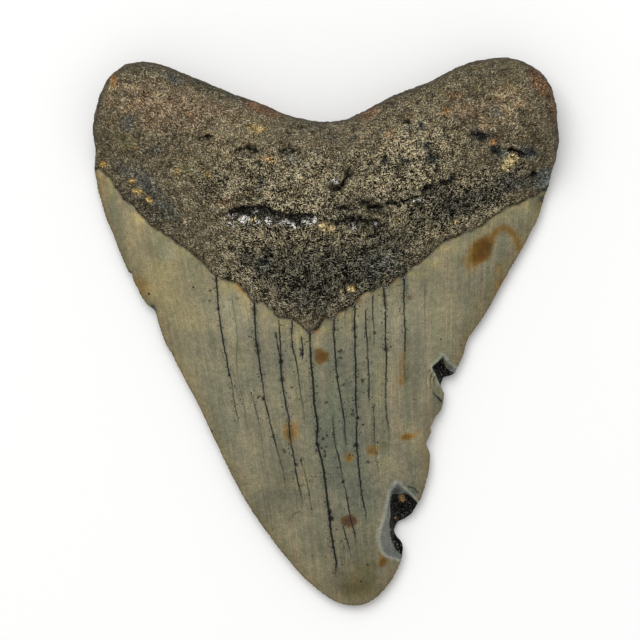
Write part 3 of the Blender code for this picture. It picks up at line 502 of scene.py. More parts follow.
ENAMEL_STAINS = (
    (AMBER, (
        (141, 285, 10, 18, 22, 0.6, 0.9), (102, 180, 3.6, 9, 10, 0.5, 0.9),
        (99.8, 192, 2.4, 10, 14, 0.6, 0.9), (479, 253.5, 27, 14, 57, 0.85, 0.6),
        (500, 269, 7, 12, -12, 0.6, 0.9), (502, 283, 6.4, 15, -32, 0.8, 0.9),
        (290.5, 431.5, 10.5, 13.5, 0, 0.85, 0.4), (297, 423, 5, 4, 40, 0.5, 0.9),
        (348.5, 457.3, 6.6, 6.4, 0, 0.8, 0.7), (373, 449.6, 9.4, 7, 0, 0.8, 0.6),
        (408.5, 436.4, 10.4, 5, 16, 0.9, 0.5), (419, 432, 6, 2.4, 18, 0.55, 0.8),
        (403, 366, 6.4, 26, 0, 0.6, 0.9), (402, 380, 6.4, 7.6, 0, 0.8, 0.9), (407, 346, 4, 14, 0, 0.3, 0.9),
        (381, 558, 6.6, 9, -28, 0.4, 0.8), (543, 204, 3, 14, -14, 0.5, 0.8), (371, 567, 5, 4, 0, 0.4, 0.9),
        (240, 287, 14, 6.4, -48, 0.7, 0.9), (326, 358, 4, 7, 0, 0.5, 0.9), (424, 505, 4, 9, -20, 0.4, 0.9))),
    (AMBER_DEEP, (
        (320.6, 355.6, 8.6, 9.2, 0, 0.95, 0.4), (290, 432, 6.4, 10, 0, 0.7, 0.8),
        (348.5, 457.6, 4, 4, 0, 0.6, 0.9), (371.6, 450, 5.6, 4.4, 0, 0.6, 0.9),
        (406.6, 437, 9, 4.4, 14, 0.8, 0.8), (409.7, 297, 4, 4.2, 0, 0.8, 0.7),
        (349.5, 520.2, 9, 8.2, 0, 0.95, 0.4), (237, 298, 3.4, 2.6, 0, 0.7, 0.8),
        (483, 249.6, 22, 11.4, 57, 0.95, 0.45))),
    (RED_BROWN, (
        (484, 248.4, 17, 7.4, 57, 0.5, 0.9), (350, 520, 8.4, 7.6, 0, 1.0, 0.5),
        (320.6, 356, 7, 7.6, 0, 0.4, 0.8), (441.5, 401, 4, 1.8, -35, 0.85, 0.6))),
    (AMBER_DEEP, ((383.4, 562, 6.4, 8, -24, 0.95, 0.7),)),
    (OLIVE, (
        (384.5, 444.6, 7.4, 6.6, 0, 0.8, 0.8), (409, 372, 6, 16, 0, 0.5, 0.9),
        (375.7, 571.2, 3.4, 4, 0, 0.8, 0.7), (348, 311, 5, 4.4, 0, 0.7, 0.8),
        (334, 379.5, 3, 2.2, 0, 0.8, 0.8), (349, 399, 6, 7, 0, 0.4, 0.9), (265, 430, 2.8, 3.4, 0, 0.6, 0.8),
        (251, 322, 2.2, 3.2, 0, 0.6, 0.8), (316, 362, 5, 4, 0, 0.35, 0.9))),
    (ORANGE, (
        (317, 331, 5.4, 4.4, 0, 0.7, 0.8), (359.4, 299.4, 2.8, 7, -10, 0.8, 0.8),
        (340, 312.6, 6, 3.4, 35, 0.5, 0.8), (397, 280.4, 5, 4.4, 40, 0.5, 0.9),
        (325, 493, 2.4, 4, 10, 0.5, 0.8))),
    (BLUE_DARK, (
        (152.5, 307.5, 3.4, 5, 30, 0.85, 0.6), (129, 271.5, 3.4, 1.6, -25, 0.8, 0.7),
        (172, 354, 2, 3, 25, 0.5, 0.8), (544, 198, 5.4, 6.4, -20, 0.8, 0.7),
        (330, 513, 3, 7, 6, 0.35, 0.9))),
    (BLUE_GREY, (
        (414, 492, 9, 5.4, -35, 0.6, 0.8), (437, 400, 9, 14, 0, 0.4, 0.9), (281, 362, 4, 10, 0, 0.5, 0.9),
        (356, 440, 4, 9, 0, 0.4, 0.9), (321, 445, 6, 12, 0, 0.35, 0.9), (326, 402, 4, 5, 0, 0.35, 0.9))),
)
# Tints of the broken surfaces, laid over the tone of the break.
CHIP_PATCHES = (
    (DARK, ((396, 490.4, 7.4, 7, 0, 0.75, 0.8), (394, 512, 3.4, 14, -5, 0.3, 0.9))),
    (ENAMEL_GREY, ((411, 492, 10, 4.6, -40, 0.7, 0.8),)),
    (TIP_OLIVE, ((449, 363.6, 8, 4, -48, 0.9, 0.6),)),
)
# The tail of the big stain: path, half width and strength.
STAIN_TAIL = (((492, 237), (497, 231), (504, 228), (511, 230), (516.5, 236), (520.5, 247)), 6.4, 0.85)
BOUNDARY_TINT, BOUNDARY_REACH = 0.55, 4.2
EDGE_TINT, EDGE_REACH = 0.6, 0.45
# The tan band along the cutting edges, partly painted shade: how strong, and how far in.
EDGE_BAND, EDGE_BAND_REACH = 0.8, 3.2
SHADOW_LINE = 0.45
PATCH_SWAY = 0.045
# Painted shade where the root's rounded rim turns down, away from the lamp: how dark, and the rise at which
# it has faded out.
RIM_SHADE, RIM_SHADE_RISE = 0.42, 0.85
# Painted shade along the foot of the root's ledge over the enamel, on the inner and the outer face.
LEDGE_PAINTED_SHADE, BACK_LEDGE_PAINTED_SHADE = 0.5, 0.6

# The root's fibres run round and out from a middle, and the crown's growth lines close in on the tip.
FIBRE_MIDDLE_Y, FIBRE_TURN = -4.0, 42.0
STREAK_TOP_PX, STREAK_LEAN, STREAK_CLOSING, STREAK_END_PX = 300.0, 0.308, 0.0007, 400.0

# The root's speckle: what its middle is, and how far it swings, by the roughness.
SPECKLE_MIDDLE, SPECKLE_MIDDLE_ROUGH = 0.467, 0.0272
SPECKLE_CONTRAST, CLOT_CONTRAST, MOST_SWING = 28.5, 5.0, 2.3
GRAIN_COLOURS = ((0.36, (0.35, 0.36, 0.20)), (0.46, (0.38, 0.38, 0.27)), (0.54, (0.39, 0.38, 0.29)),
                 (0.64, (0.42, 0.36, 0.29)))
# Crystals in the root: mask, cover and tone of the ground, width and tone of the crystals.
CRYSTAL_KINDS = (("specks", 0.9, (0.012, 0.010, 0.009), 0.06, (0.90, 0.87, 0.78)),
                 ("gold", 0.95, (0.04, 0.026, 0.012), 0.08, (1.0, 0.82, 0.42)))
NO_TINT, RUSTY, BLUISH = (1.0, 1.0, 1.0), (1.08, 0.98, 0.89), (0.84, 0.92, 1.04)
COOL_CLOUDS, WARM_CLOUDS = (0.98, 1.0, 1.03), (1.02, 1.0, 0.96)
GREEN_BANDS, PINK_BANDS = (0.97, 1.01, 0.98), (1.035, 0.985, 0.99)
DOT_TONE, GLINT_TONE, GOLD_GLINT_TONE = (0.02, 0.018, 0.015), (0.15, 0.145, 0.12), (0.70, 0.42, 0.16)

# Stage, light and camera, in metres.
FLOOR_SIZE, FLOOR_TONE = 6.0, (0.985, 0.985, 0.98, 1.0)
WORLD_STRENGTH = 0.60
KEY_PLACE, KEY_SIZE, KEY_POWER = (-0.35, 0.75, 1.4), 1.3, 15.5
CAMERA_HEIGHT, CAMERA_FOCUS_HEIGHT = 0.9, 0.004
FRAME_WIDTH_PX, FRAME_MIDDLE_PX, SENSOR = 640, (320, 320), 36.0


def smooth(share):
    """Rise from 0 to 1 with no corner at either end."""
    share = np.clip(share, 0.0, 1.0)
    return share * share * (3.0 - 2.0 * share)


def fade(share):
    """Fall from 1 to 0 with no corner at either end."""
    return 1.0 - smooth(share)


def rounded(share):
    """Rise from 0 to 1 along a quarter of a circle."""
    return np.sqrt(1.0 - (1.0 - np.clip(share, 0.0, 1.0)) ** 2)


def mix(low, high, share):
    return low + (high - low) * share


def from_px(points_px):
    """Millimetres from the photograph's pixels."""
    return (np.asarray(points_px, float) - MIDDLE_PX) * (PIXEL, -PIXEL)


def resample(line, step):
    """The same line with its points evenly spaced."""
    lengths = np.hypot(*np.diff(line, axis=0).T)
    along = np.concatenate(([0.0], np.cumsum(lengths)))
    stops = np.linspace(0.0, along[-1], max(2, int(round(along[-1] / step)) + 1))
    return np.column_stack([np.interp(stops, along, line[:, axis]) for axis in (0, 1)])


def curve_through(points_px, step):
    """Catmull-Rom curve through a row of points, evenly resampled."""
    points = from_px(points_px)
    padded = np.vstack((2 * points[0] - points[1], points, 2 * points[-1] - points[-2]))
    before, start, end, after = padded[:-3], padded[1:-2], padded[2:-1], padded[3:]
    parts = []
    for t in np.linspace(0.0, 1.0, 8, endpoint=False):
        parts.append(0.5 * (2 * start + (end - before) * t
                            + (2 * before - 5 * start + 4 * end - after) * t ** 2
                            + (3 * start - before - 3 * end + after) * t ** 3))
    line = np.stack(parts, 1).reshape(-1, 2)
    return resample(np.vstack((line, points[-1])), step)


def normals_of(line):
    """Left-hand normals of a row of points."""
    along = np.gradient(line, axis=0)
    along /= np.maximum(np.hypot(*along.T), 1e-9)[:, None]
    return np.column_stack((-along[:, 1], along[:, 0]))


def nearest_on(points, line):
    """Distance to a row of joined points, and the place along it, in steps of the row."""
    start = line[:-1]
    along = line[1:] - start
    length2 = np.maximum((along ** 2).sum(1), 1e-12)
    pairs_at_once = 1500000
    gaps, places = [], []
    for part in np.array_split(points, 1 + len(points) * len(line) // pairs_at_once):
        offset = part[:, None] - start
        share = np.clip((offset * along).sum(2) / length2, 0.0, 1.0)
        gap = ((offset - share[..., None] * along) ** 2).sum(2)
        best = gap.argmin(1)
        rows = np.arange(len(part))
        gaps.append(np.sqrt(gap[rows, best]))
        places.append(best + share[rows, best])
    return np.concatenate(gaps), np.concatenate(places)


def distance_to(points, line):
    return nearest_on(points, line)[0]


def inside(points, ring):
    """Whether each point is inside a closed ring."""
    x, y = points.T
    found = np.zeros(len(points), bool)
    for (x0, y0), (x1, y1) in zip(ring, np.roll(ring, -1, axis=0)):
        if y0 != y1:
            crosses = (y0 > y) != (y1 > y)
            found ^= crosses & (x < (x1 - x0) * (y - y0) / (y1 - y0) + x0)
    return found


def near_to(points, line, reach):
    """Numbers of the points in the line's box, widened by the reach."""
    low, high = line.min(0) - reach, line.max(0) + reach
    return np.flatnonzero(((points > low) & (points < high)).all(1))


def layered(places, layers):
    """Layers of noise added up, at points of a line, of the plan or of space."""
    total = 0.0
    for strength, size, octaves, seed in layers:
        spots = np.zeros((len(places), 3))
        spots[:, :places.shape[1]] = places
        spots = (spots / size + seed).tolist()
        total = total + strength * np.array([noise.fractal(spot, 1.0, 2.0, octaves) for spot in spots])
    return total


def tree_of(points):
    tree = KDTree(len(points))
    for number, (x, y) in enumerate(points.tolist()):
        tree.insert((x, y, 0.0), number)
    tree.balance()
    return tree


def kept_clear(points, others, gap):
    """The points that are farther than the gap from all of the others."""
    tree = tree_of(others)
    return points[[tree.find((x, y, 0.0))[2] > gap for x, y in points.tolist()]]


def scattered(step, around, margin=0.0):
    """Points of a triangular grid, shaken a little, in the box around some points."""
    low, high = around.min(0) - margin, around.max(0) + margin
    rows = np.arange(low[1], high[1], step * 0.866)
    columns = np.arange(low[0], high[0], step)
    x, y = np.meshgrid(columns, rows)
    x = x + 0.5 * step * (np.arange(len(rows)) % 2)[:, None]
    points = np.column_stack((x.ravel(), y.ravel()))
    return points + random.uniform(-0.2, 0.2, points.shape) * step


def ragged(line):
    """The line with its uneven, crumbled course."""
    order = np.arange(len(line))
    ends = smooth(np.minimum(order, order[::-1]) / 12.0)
    return line + np.column_stack((np.zeros(len(line)), layered(line, LINE_SHAKE) * ends))


def rightwards(line):
    """The points of a line that go on to the right."""
    kept = np.concatenate(([True], line[1:, 0] > np.maximum.accumulate(line[:, 0])[:-1] + 0.01))
    return line[kept]


def wiggled(path_px, seed):
    """A crack's path with the small bends of a real break."""
    line = curve_through(path_px, CRACK_POINT_STEP)
    bends = layered(line, ((0.1, 0.8, 3, seed), (0.12, 4.0, 2, seed + 5.0)))
    return line + normals_of(line) * bends[:, None]


# The lines in millimetres.
MARGIN = curve_through(ROOT_MARGIN_PX, MARGIN_STEP)
EDGE_RIGHT = curve_through(RIGHT_START_PX + RIGHT_UNBROKEN_PX + RIGHT_END_PX, WHOLE_EDGE_STEP)
EDGE_LEFT = curve_through(LEFT_START_PX + LEFT_UNBROKEN_PX + LEFT_END_PX, WHOLE_EDGE_STEP)
CROWN_EDGE = np.vstack((EDGE_RIGHT, EDGE_LEFT[1:]))
OUTLINE_RIGHT = curve_through(RIGHT_START_PX + RIGHT_BROKEN_PX + RIGHT_END_PX, EDGE_STEP)
OUTLINE_LEFT = curve_through(LEFT_START_PX + LEFT_BROKEN_PX + LEFT_END_PX, EDGE_STEP)
BACK_LINE = curve_through(BACK_LINE_PX, BACK_LINE_STEP)
ENAMEL_LINE = rightwards(ragged(curve_through(ENAMEL_LINE_PX, ENAMEL_LINE_STEP)))
SLOT_RING = np.vstack((from_px(SLOT_UPPER_PX), from_px(SLOT_LOWER_PX)[::-1]))
CHIP_LINES = [(*(resample(from_px(line), CHIP_POINT_STEP) for line in (outer, inner)), slope, depth)
              for outer, inner, slope, depth in CHIPS]
CRACK_LINES = [(wiggled(path, 7.0 * number), width, dark)
               for number, (path, width, dark) in enumerate(CRACKS)]
BACK_CRACKS = [(wiggled(path, 4.0 * number + 2.0), BACK_CRACK_WIDTH, BACK_CRACK_DARK)
               for number, path in enumerate(BACK_CRACKS_PX)]


def above(points, line):
    """How far up the plan the points are from a line across the tooth: over 0 on the root."""
    return points[:, 1] - np.interp(points[:, 0], *line.T)


def crown_spread(points):
    """Share of the way in from the unbroken cutting edge, 0 on the edge and 1 on the ridge."""
    right = np.interp(-points[:, 1], -EDGE_RIGHT[:, 1], EDGE_RIGHT[:, 0])
    left = np.interp(points[:, 1], EDGE_LEFT[:, 1], EDGE_LEFT[:, 0])
    half = np.maximum(0.5 * (right - left), NARROWEST_HALF_WIDTH)
    return np.clip(distance_to(points, CROWN_EDGE) / half, 0.0, 1.0)


def crown_face(points, spread):
    rise = np.interp(points[:, 1], *np.transpose(CROWN_RISE))
    return EDGE_HEIGHT + rise * (1.0 - (1.0 - spread) ** 2)


def crown_back(points, spread):
    outward = np.maximum(0.0, 1.0 - spread - FLAT_SHARE) / (1.0 - FLAT_SHARE)
    tip = np.maximum(0.0, (TIP_LIFT_Y - points[:, 1]) / TIP_LIFT_RUN)
    return np.maximum(EDGE_HEIGHT * outward ** EDGE_TURN, TIP_LIFT * tip ** TIP_TURN)


def lumps(points, side):
    return layered(np.column_stack((points, np.full(len(points), LUMPS_APART * side))), LUMPS)


def rim_height(points):
    to_lobe = smooth((points[:, 1] - SHOULDER_Y) / SHOULDER_TO_LOBE)
    return mix(SHOULDER_RIM_HEIGHT, LOBE_RIM_HEIGHT, to_lobe)


def root_face(points, crown, foot):
    """Full height of the root on the inner face, away from its rounded rim."""
    x, y = points.T
    bulge = np.exp(-(x / BULGE_WIDTH) ** 2 - ((y - BULGE_Y) / BULGE_LENGTH) ** 2)
    share = smooth(foot / ROOT_SLOPE)
    uneven = lumps(points, 1.0) * mix(LUMPS_AT_LEDGE, 1.0, share)
    return mix(crown + LEDGE, ROOT_BODY_HEIGHT + ROOT_BULGE * bulge, share) + uneven


def root_back(points, past):
    step = ENAMEL_STEP * fade(past / STEP_RUN)
    saddle = (SADDLE * smooth((points[:, 1] - SADDLE_Y) / SADDLE_RUN)
              * np.exp(-(points[:, 0] / SADDLE_WIDTH) ** 2))
    return np.maximum(0.0, step + saddle + BACK_LUMPS * lumps(points, -1.0))


class Side:
    """Plan of one side, with the strip beside the root's rounded rim rolled out flat."""

    def __init__(self, ring, margin_count, radius):
        along = np.arange(margin_count) * MARGIN_STEP
        taper = smooth(np.minimum(along, along[::-1]) / RIM_TAPER)
        self.radius = mix(LEAST_RIM_RADIUS, radius, taper)
        outward = normals_of(ring[:margin_count])
        self.ring = ring.copy()
        self.ring[:margin_count] += outward * self.room(self.radius)[:, None]
        self.inward = -outward
        self.count = margin_count

    @staticmethod
    def room(radius):
        """Length of a quarter circle over its radius."""
        return (0.5 * pi - 1.0) * radius * (radius > LEAST_RIM_RADIUS * 1.01)

    def rolled_back(self, points):
        """Real plan of points, and how far each has climbed from the rim, 0 to 1."""
        rim = self.ring[:self.count]
        depth, place = nearest_on(points, rim)
        spots = np.arange(self.count)
        radius = np.interp(place, spots, self.radius)
        foot, inward = (np.column_stack([np.interp(place, spots, values[:, axis]) for axis in (0, 1)])
                        for values in (rim, self.inward))
        far = depth > TINY
        inward[far] = (points[far] - foot[far]) / depth[far][:, None]
        turn = np.minimum(depth / radius, 0.5 * pi)
        room = self.room(radius)
        shift = np.where(turn < 0.5 * pi, radius * (1.0 - np.cos(turn)) - depth + room, 0.0)
        shift *= room > 0.0
        return points + inward * shift[:, None], np.sin(turn)


def snapped(line, ring):
    """The line with its ends on points of the ring, and the rest clear of the ring."""
    ends = [ring[np.hypot(*(ring - end).T).argmin()] for end in (line[0], line[-1])]
    body = line[1:-1]
    body = kept_clear(body[inside(body, ring[::4])], ring, RING_CLEARANCE)
    return np.vstack((ends[0], body, ends[1]))


def beside(line, offsets):
    """Rows of points beside a line."""
    normals = normals_of(line)
    return np.vstack([line + offset * normals for offset in offsets])


def fitting(points, ring, fixed, gap):
    """The points inside the ring that keep clear of the fixed ones."""
    return kept_clear(points[inside(points, ring[::3])], fixed, gap)


def triangulated(ring, lines, loose):
    """Plan points and triangles inside a ring, with edges along the lines."""
    points = [ring]
    edges = []
    for line in lines:
        first = sum(len(part) for part in points)
        edges += [(first + i, first + i + 1) for i in range(len(line) - 1)]
        points.append(line)
    points = np.vstack(points + [loose])
    verts, _, faces, origins, _, _ = delaunay_2d_cdt(
        [Vector(point) for point in points.tolist()], edges, [list(range(len(ring)))], 1, 1e-5)
    on_ring = np.full(len(ring), -1)
    for number, sources in enumerate(origins):
        for source in sources:
            if source < len(ring):
                on_ring[source] = number
    return np.array([tuple(vert) for vert in verts]), np.array(faces), on_ring


def serrated(line):
    """A cutting edge with its fine, worn teeth."""
    along = np.arange(len(line)) * EDGE_STEP
    wander = layered(line, SERRATION_WANDER)
    wave = np.abs(np.sin(pi * (along + wander) / SERRATION)) - SERRATION_BASE
    worn = np.clip(MEAN_WEAR + layered(line, SERRATION_WEAR), 0.05, 1.0)
    ends = smooth(np.minimum(along, along[::-1]) / SERRATION_END)
    breaks = np.clip(distance_to(line, CROWN_EDGE) / 0.5, 0.0, 1.0)
    depth = SERRATION_DEPTH * worn * ends * (1.0 - breaks)
    return line + normals_of(line) * (wave * depth + layered(line, EDGE_WAVES) * ends)[:, None]


def spot_mask(points, spot, soft):
    """1 inside a turned ellipse, falling to 0 at its rim."""
    x, y, half_width, half_height, turn = spot
    offset = points - from_px((x, y))
    angle = radians(turn)
    u = offset[:, 0] * np.cos(angle) + offset[:, 1] * np.sin(angle)
    v = offset[:, 1] * np.cos(angle) - offset[:, 0] * np.sin(angle)
    reach = np.hypot(u / (half_width * PIXEL), v / (half_height * PIXEL))
    return smooth((1.0 - reach) / soft)


def round_mask(points, x, y, radius, soft):
    return spot_mask(points, (x, y, radius, radius, 0), soft)


def crack_fields(points, cracks):
    """Groove depth, darkness and the shade beside the cracks."""
    depth, dark, halo = np.zeros((3, len(points)))
    for number, (line, width, (start, end)) in enumerate(cracks):
        near = near_to(points, line, HALO_REACH)
        if not len(near):
            continue
        gap, place = nearest_on(points[near], line)
        along = place / (len(line) - 1)
        run = place[:, None] * CRACK_POINT_STEP
        patchy = 1.0 + layered(run, ((0.7, 4.5, 2, 3.0 * number), (0.3, 1.0, 1, 5.0 * number)))
        uneven = layered(run, ((0.6, 3.2, 2, 11.0 * number), (0.55, 0.8, 1, 13.0 * number)))
        strength = np.clip(mix(start, end, smooth(along)) * patchy, 0.0, 1.0)
        strength *= smooth((1.0 - along) / CRACK_END)
        half = CRACK_HALF_SHARE * mix(*width, along) * PIXEL
        half *= np.clip(1.0 + CRACK_UNEVEN * uneven, *CRACK_WIDTHS)
        core = fade((gap - 0.5 * half) / (0.5 * half + 0.5 * CRACK_SIDE))
        groove = CRACK_DEPTH * half * strength * np.clip(1.0 - gap / (half + CRACK_SIDE), 0.0, 1.0)
        shade = strength * fade(gap / HALO_REACH)
        for field, value in ((depth, groove), (dark, core * strength), (halo, shade)):
            field[near] = np.maximum(field[near], value)
    return depth, dark, halo


def beyond_edge(line):
    """Closed ring from a chip's line around the outside of the tooth."""
    reach = np.array(PAST_THE_EDGE)
    return np.vstack((line, line[-1] + reach, line[0] + reach))


def in_chips(points):
    found = np.zeros(len(points))
    for outer, _, _, _ in CHIP_LINES:
        found = np.maximum(found, inside(points, beyond_edge(outer)))
    return found


def chip_fields(points, face, spread):
    """Height of the crown with its chips, where the break and the core show, and the way to the rim."""
    height = face.copy()
    section, core = np.zeros((2, len(points)))
    rim_gap = np.full(len(points), np.inf)
    for outer, inner, slope, depth in CHIP_LINES:
        near = near_to(points, outer, CHIP_REACH)
        spots = points[near]
        to_outer, to_inner = distance_to(spots, outer), distance_to(spots, inner)
        in_outer = inside(spots, beyond_edge(outer)) | (to_outer < TOUCHING)
        in_inner = inside(spots, beyond_edge(inner)) | (to_inner < TOUCHING)
        share = np.where(in_inner, 1.0, to_outer / np.maximum(to_outer + to_inner, 1e-6))
        sunk = slope * share + np.where(in_inner, depth * smooth(to_inner / CORE_RUN), 0.0)
        sunk += np.where(in_inner, layered(spots, CORE_ROUGHNESS) * smooth(to_inner / CORE_ROUGH_RUN),
                         layered(spots, BREAK_ROUGHNESS))
        height[near] -= np.where(in_outer, sunk, 0.0)
        section[near] = np.maximum(section[near], in_outer & (to_outer > TOUCHING))
        core[near] = np.maximum(core[near], in_inner)
        rim_gap[near] = np.minimum(rim_gap[near], to_outer)
    floor = np.maximum(FLOOR_OF_CHIPS, crown_back(points, spread) + CHIP_ABOVE_BACK)
    return np.maximum(height, np.minimum(face, floor)), section, core, rim_gap


def crack_rows(line, width, shares):
    """Rows of points along a crack: on both banks, and within its width."""
    half = 0.25 * sum(width) * PIXEL
    return beside(line, (-half - CRACK_SIDE, *(share * half for share in shares), half + CRACK_SIDE))


def detail_rows(side, lines):
    """Rows of points beside the lines, along the cracks, round the beads and inside the edge."""
    ring = side.ring
    rows = [beside(lines[0], ENAMEL_LINE_ROWS)] + [beside(line, CHIP_ROWS) for line in lines[1:]]
    for line, width, _ in CRACK_LINES:
        along = crack_rows(line, width, (-0.6, 0.0, 0.6))
        rows.append(along[above(along, ENAMEL_LINE) < -0.08])
    turns = np.linspace(0.0, tau, RINGLET_POINTS, endpoint=False)
    ringlet = np.column_stack((np.cos(turns), np.sin(turns))) * PIXEL
    for x, y, radius in DARK_BEADS + WHITE_SPECKS:
        middle = from_px((x, y))
        rows += [middle, middle + ringlet * radius, middle + ringlet * (radius + RINGLET_STEP_PX)]
    for inset, every in EDGE_ROWS:
        rows.append(beside(ring[side.count:], (-inset,))[::every])
    return fitting(np.vstack(rows), ring, np.vstack([ring] + lines), ROW_CLEARANCE)


def top_points(side):
    """Lines and loose points of the inner face's plan."""
    ring = side.ring
    chips = [line for outer, inner, _, _ in CHIP_LINES for line in (outer, inner)]
    lines = [snapped(line, ring) for line in [ENAMEL_LINE] + chips]
    rows = detail_rows(side, lines)
    fixed = np.vstack([ring, rows] + lines)

    root = scattered(ROOT_STEP, ring)
    root = root[above(root, ENAMEL_LINE) > 0.0]
    hollows = [from_px(path) for path in (SLOT_UPPER_PX, SLOT_LOWER_PX, *(row[0] for row in FURROWS))]
    fine = scattered(FINE_STEP, np.vstack(hollows), FINE_MARGIN)
    to_hollows = np.min([distance_to(fine, resample(path, 1.0)) for path in hollows], axis=0)
    fine = fine[(to_hollows < FINE_REACH) | inside(fine, SLOT_RING)]
    root = kept_clear(root, fine, 0.75 * ROOT_STEP)

    crown = scattered(ENAMEL_STEP_APART, ring)
    crown = crown[above(crown, ENAMEL_LINE) < 0.0]
    stains = scattered(STAIN_STEP, ring)
    busy = in_chips(stains)
    for _, patches in ENAMEL_STAINS:
        for x, y, half_width, half_height, turn, _, _ in patches:
            spot = (x, y, half_width + STAIN_MARGIN_PX, half_height + STAIN_MARGIN_PX, turn)
            busy = np.maximum(busy, spot_mask(stains, spot, 1.0))
    stains = stains[(busy > 0.0) & (above(stains, ENAMEL_LINE) < 0.0)]
    crown = kept_clear(crown, stains, 0.7 * ENAMEL_STEP_APART)
    kinds = (root, ROOT_STEP), (fine, FINE_STEP), (stains, STAIN_STEP), (crown, ENAMEL_STEP_APART)
    loose = [fitting(points, ring, fixed, CLEARANCE * step) for points, step in kinds]
    return lines, np.vstack([rows] + loose)


def back_points(side):
    """The same for the outer face."""
    ring = side.ring
    line = snapped(BACK_LINE, ring)
    rows = [beside(line, BACK_LINE_ROWS)]
    rows += [crack_rows(crack, width, (0.0,)) for crack, width, _ in BACK_CRACKS]
    rows = fitting(np.vstack(rows), ring, ring, BACK_ROW_CLEARANCE)
    root = scattered(BACK_ROOT_STEP, ring)
    root = root[above(root, BACK_LINE) > 0.0]
    crown = scattered(BACK_ENAMEL_STEP, ring)
    crown = crown[above(crown, BACK_LINE) < 0.0]
    rim = scattered(BACK_RIM_STEP, ring)
    rim = rim[distance_to(rim, np.vstack((ring, ring[:1]))[::4]) < BACK_RIM]
    fixed = np.vstack((ring, rows, line))
    rim = fitting(rim, ring, fixed, BACK_CLEARANCE * BACK_RIM_STEP)
    fixed = np.vstack((fixed, rim))
    root = fitting(root, ring, fixed, BACK_CLEARANCE * BACK_ROOT_STEP)
    crown = fitting(crown, ring, fixed, BACK_CLEARANCE * BACK_ENAMEL_STEP)
    return [line], np.vstack((rows, rim, root, crown))


def furrow_fields(points):
    """Depth of the slot, the furrows and the pits, and the painted shade at each place in them."""
    depth, dark = np.zeros((2, len(points)))
    near = np.flatnonzero(inside(points, SLOT_RING))
    upper, lower = (distance_to(points[near], resample(from_px(rim), FURROW_POINT_STEP))
                    for rim in (SLOT_UPPER_PX, SLOT_LOWER_PX))
    full = mix(SLOT_DEPTH, SLOT_DEPTH_RIGHT, smooth((points[near, 0] - SLOT_X) / SLOT_X_RUN))
    depth[near] = full * np.minimum(smooth(upper / SLOT_STEEP), smooth(lower / SLOT_GENTLE))
    dark[near] = smooth(np.minimum(upper / SLOT_SHADE_ABOVE, lower / SLOT_SHADE_BELOW))
    for path, half, deepest in FURROWS:
        line = curve_through(path, FURROW_POINT_STEP)
        near = near_to(points, line, FURROW_REACH)
        spots = points[near]
        gap, place = nearest_on(spots, line)
        index = np.minimum(place.astype(int), len(line) - 2)
        uphill = np.einsum("ij,ij->i", spots - line[index], normals_of(line)[index]) > 0.0
        crumbled = np.clip(1.0 + layered(spots, FURROW_CRUMBLING), *CRUMBLED_WIDTHS)
        reach = np.where(uphill, 1.0, FURROW_LOWER_SIDE) * half * crumbled
        ends = smooth(np.minimum(place, len(line) - 1 - place) * FURROW_POINT_STEP / (FURROW_END * half))
        profile = fade((gap / reach - 0.25) / 0.75) * ends
        signed = deepest * profile
        depth[near] = np.where(abs(signed) > abs(depth[near]), signed, depth[near])
        dark[near] = np.maximum(dark[near], profile * np.clip(1.6 * deepest, 0.0, 1.0))
    for *spot, deepest in PITS:
        mask = spot_mask(points, spot, PIT_SOFT)
        depth = np.where(abs(deepest * mask) > abs(depth), deepest * mask, depth)
        dark = np.maximum(dark, mask * np.clip(deepest, 0.0, 0.9))
    return depth, dark


def pore_fields(points, weights):
    """Depth of small pores scattered over the root."""
    tree = tree_of(points)
    depth = np.zeros(len(points))
    places = random.uniform(points.min(0), points.max(0), (PORES * 3, 2))
    places = places[above(places, ENAMEL_LINE) > PORES_FROM_LINE]
    sizes = random.uniform(0.0, 1.0, len(places)) ** PORE_SIZE_POWER
    stretch = random.uniform(PORE_NARROWEST, 1.0, len(places))
    turns = random.uniform(0.0, pi, len(places))
    for (x, y), size, narrow, turn in zip(places.tolist(), sizes, stretch, turns):
        radius = mix(*PORE_RADIUS, size)
        found = [number for _, number, _ in tree.find_range((x, y, 0.0), radius)]
        if found:
            offset = points[found] - (x, y)
            u = offset @ (np.cos(turn), np.sin(turn))
            v = offset @ (-np.sin(turn), np.cos(turn)) / narrow
            bowl = mix(*PORE_DEPTH, size) * smooth(1.15 - np.hypot(u, v) / radius)
            depth[found] = np.maximum(depth[found], bowl)
    return depth * weights


def root_fibres(points):
    """Coordinates along which the root's fibres run: around and out from the middle."""
    x, y = points[:, 0], points[:, 1] - FIBRE_MIDDLE_Y
    return np.column_stack((np.arctan2(x, y) * FIBRE_TURN, np.hypot(x, y)))


def down_the_side(fibres, height):
    """The same coordinates, going on down the steep rim."""
    return fibres - np.column_stack((np.zeros(len(height)), height))


def crown_streaks(points):
    """Coordinates across and along the crown's growth lines, which close in towards the tip."""
    x, y = points[:, 0] / PIXEL + MIDDLE_PX[0], MIDDLE_PX[1] - points[:, 1] / PIXEL
    down = y - STREAK_TOP_PX
    across = (x - STREAK_LEAN * down) / (1.0 - STREAK_CLOSING * np.minimum(down, STREAK_END_PX))
    return np.column_stack((across * PIXEL, down * PIXEL))


def vertex_normals(places, faces):
    corners = places[faces]
    flat = np.cross(corners[:, 1] - corners[:, 0], corners[:, 2] - corners[:, 0])
    summed = np.zeros_like(places)
    for corner in range(3):
        for axis in range(3):
            summed[:, axis] += np.bincount(faces[:, corner], flat[:, axis], len(places))
    return summed / np.maximum(np.linalg.norm(summed, axis=1), 1e-9)[:, None]


def plain(tone, points):
    return np.tile(np.array(tone), (len(points), 1))


def blend_tone(tone, colour, mask):
    return tone + (np.asarray(colour) - tone) * mask[:, None]


def painted(points, groups, tone, wobble):
    """The tone with groups of soft patches laid over it."""
    for colour, patches in groups:
        for *spot, strength, soft in patches:
            sway = min(1.0, PATCH_SWAY * min(spot[2:4]))
            tone = blend_tone(tone, colour, strength * spot_mask(points + wobble * sway, spot, soft))
    return tone


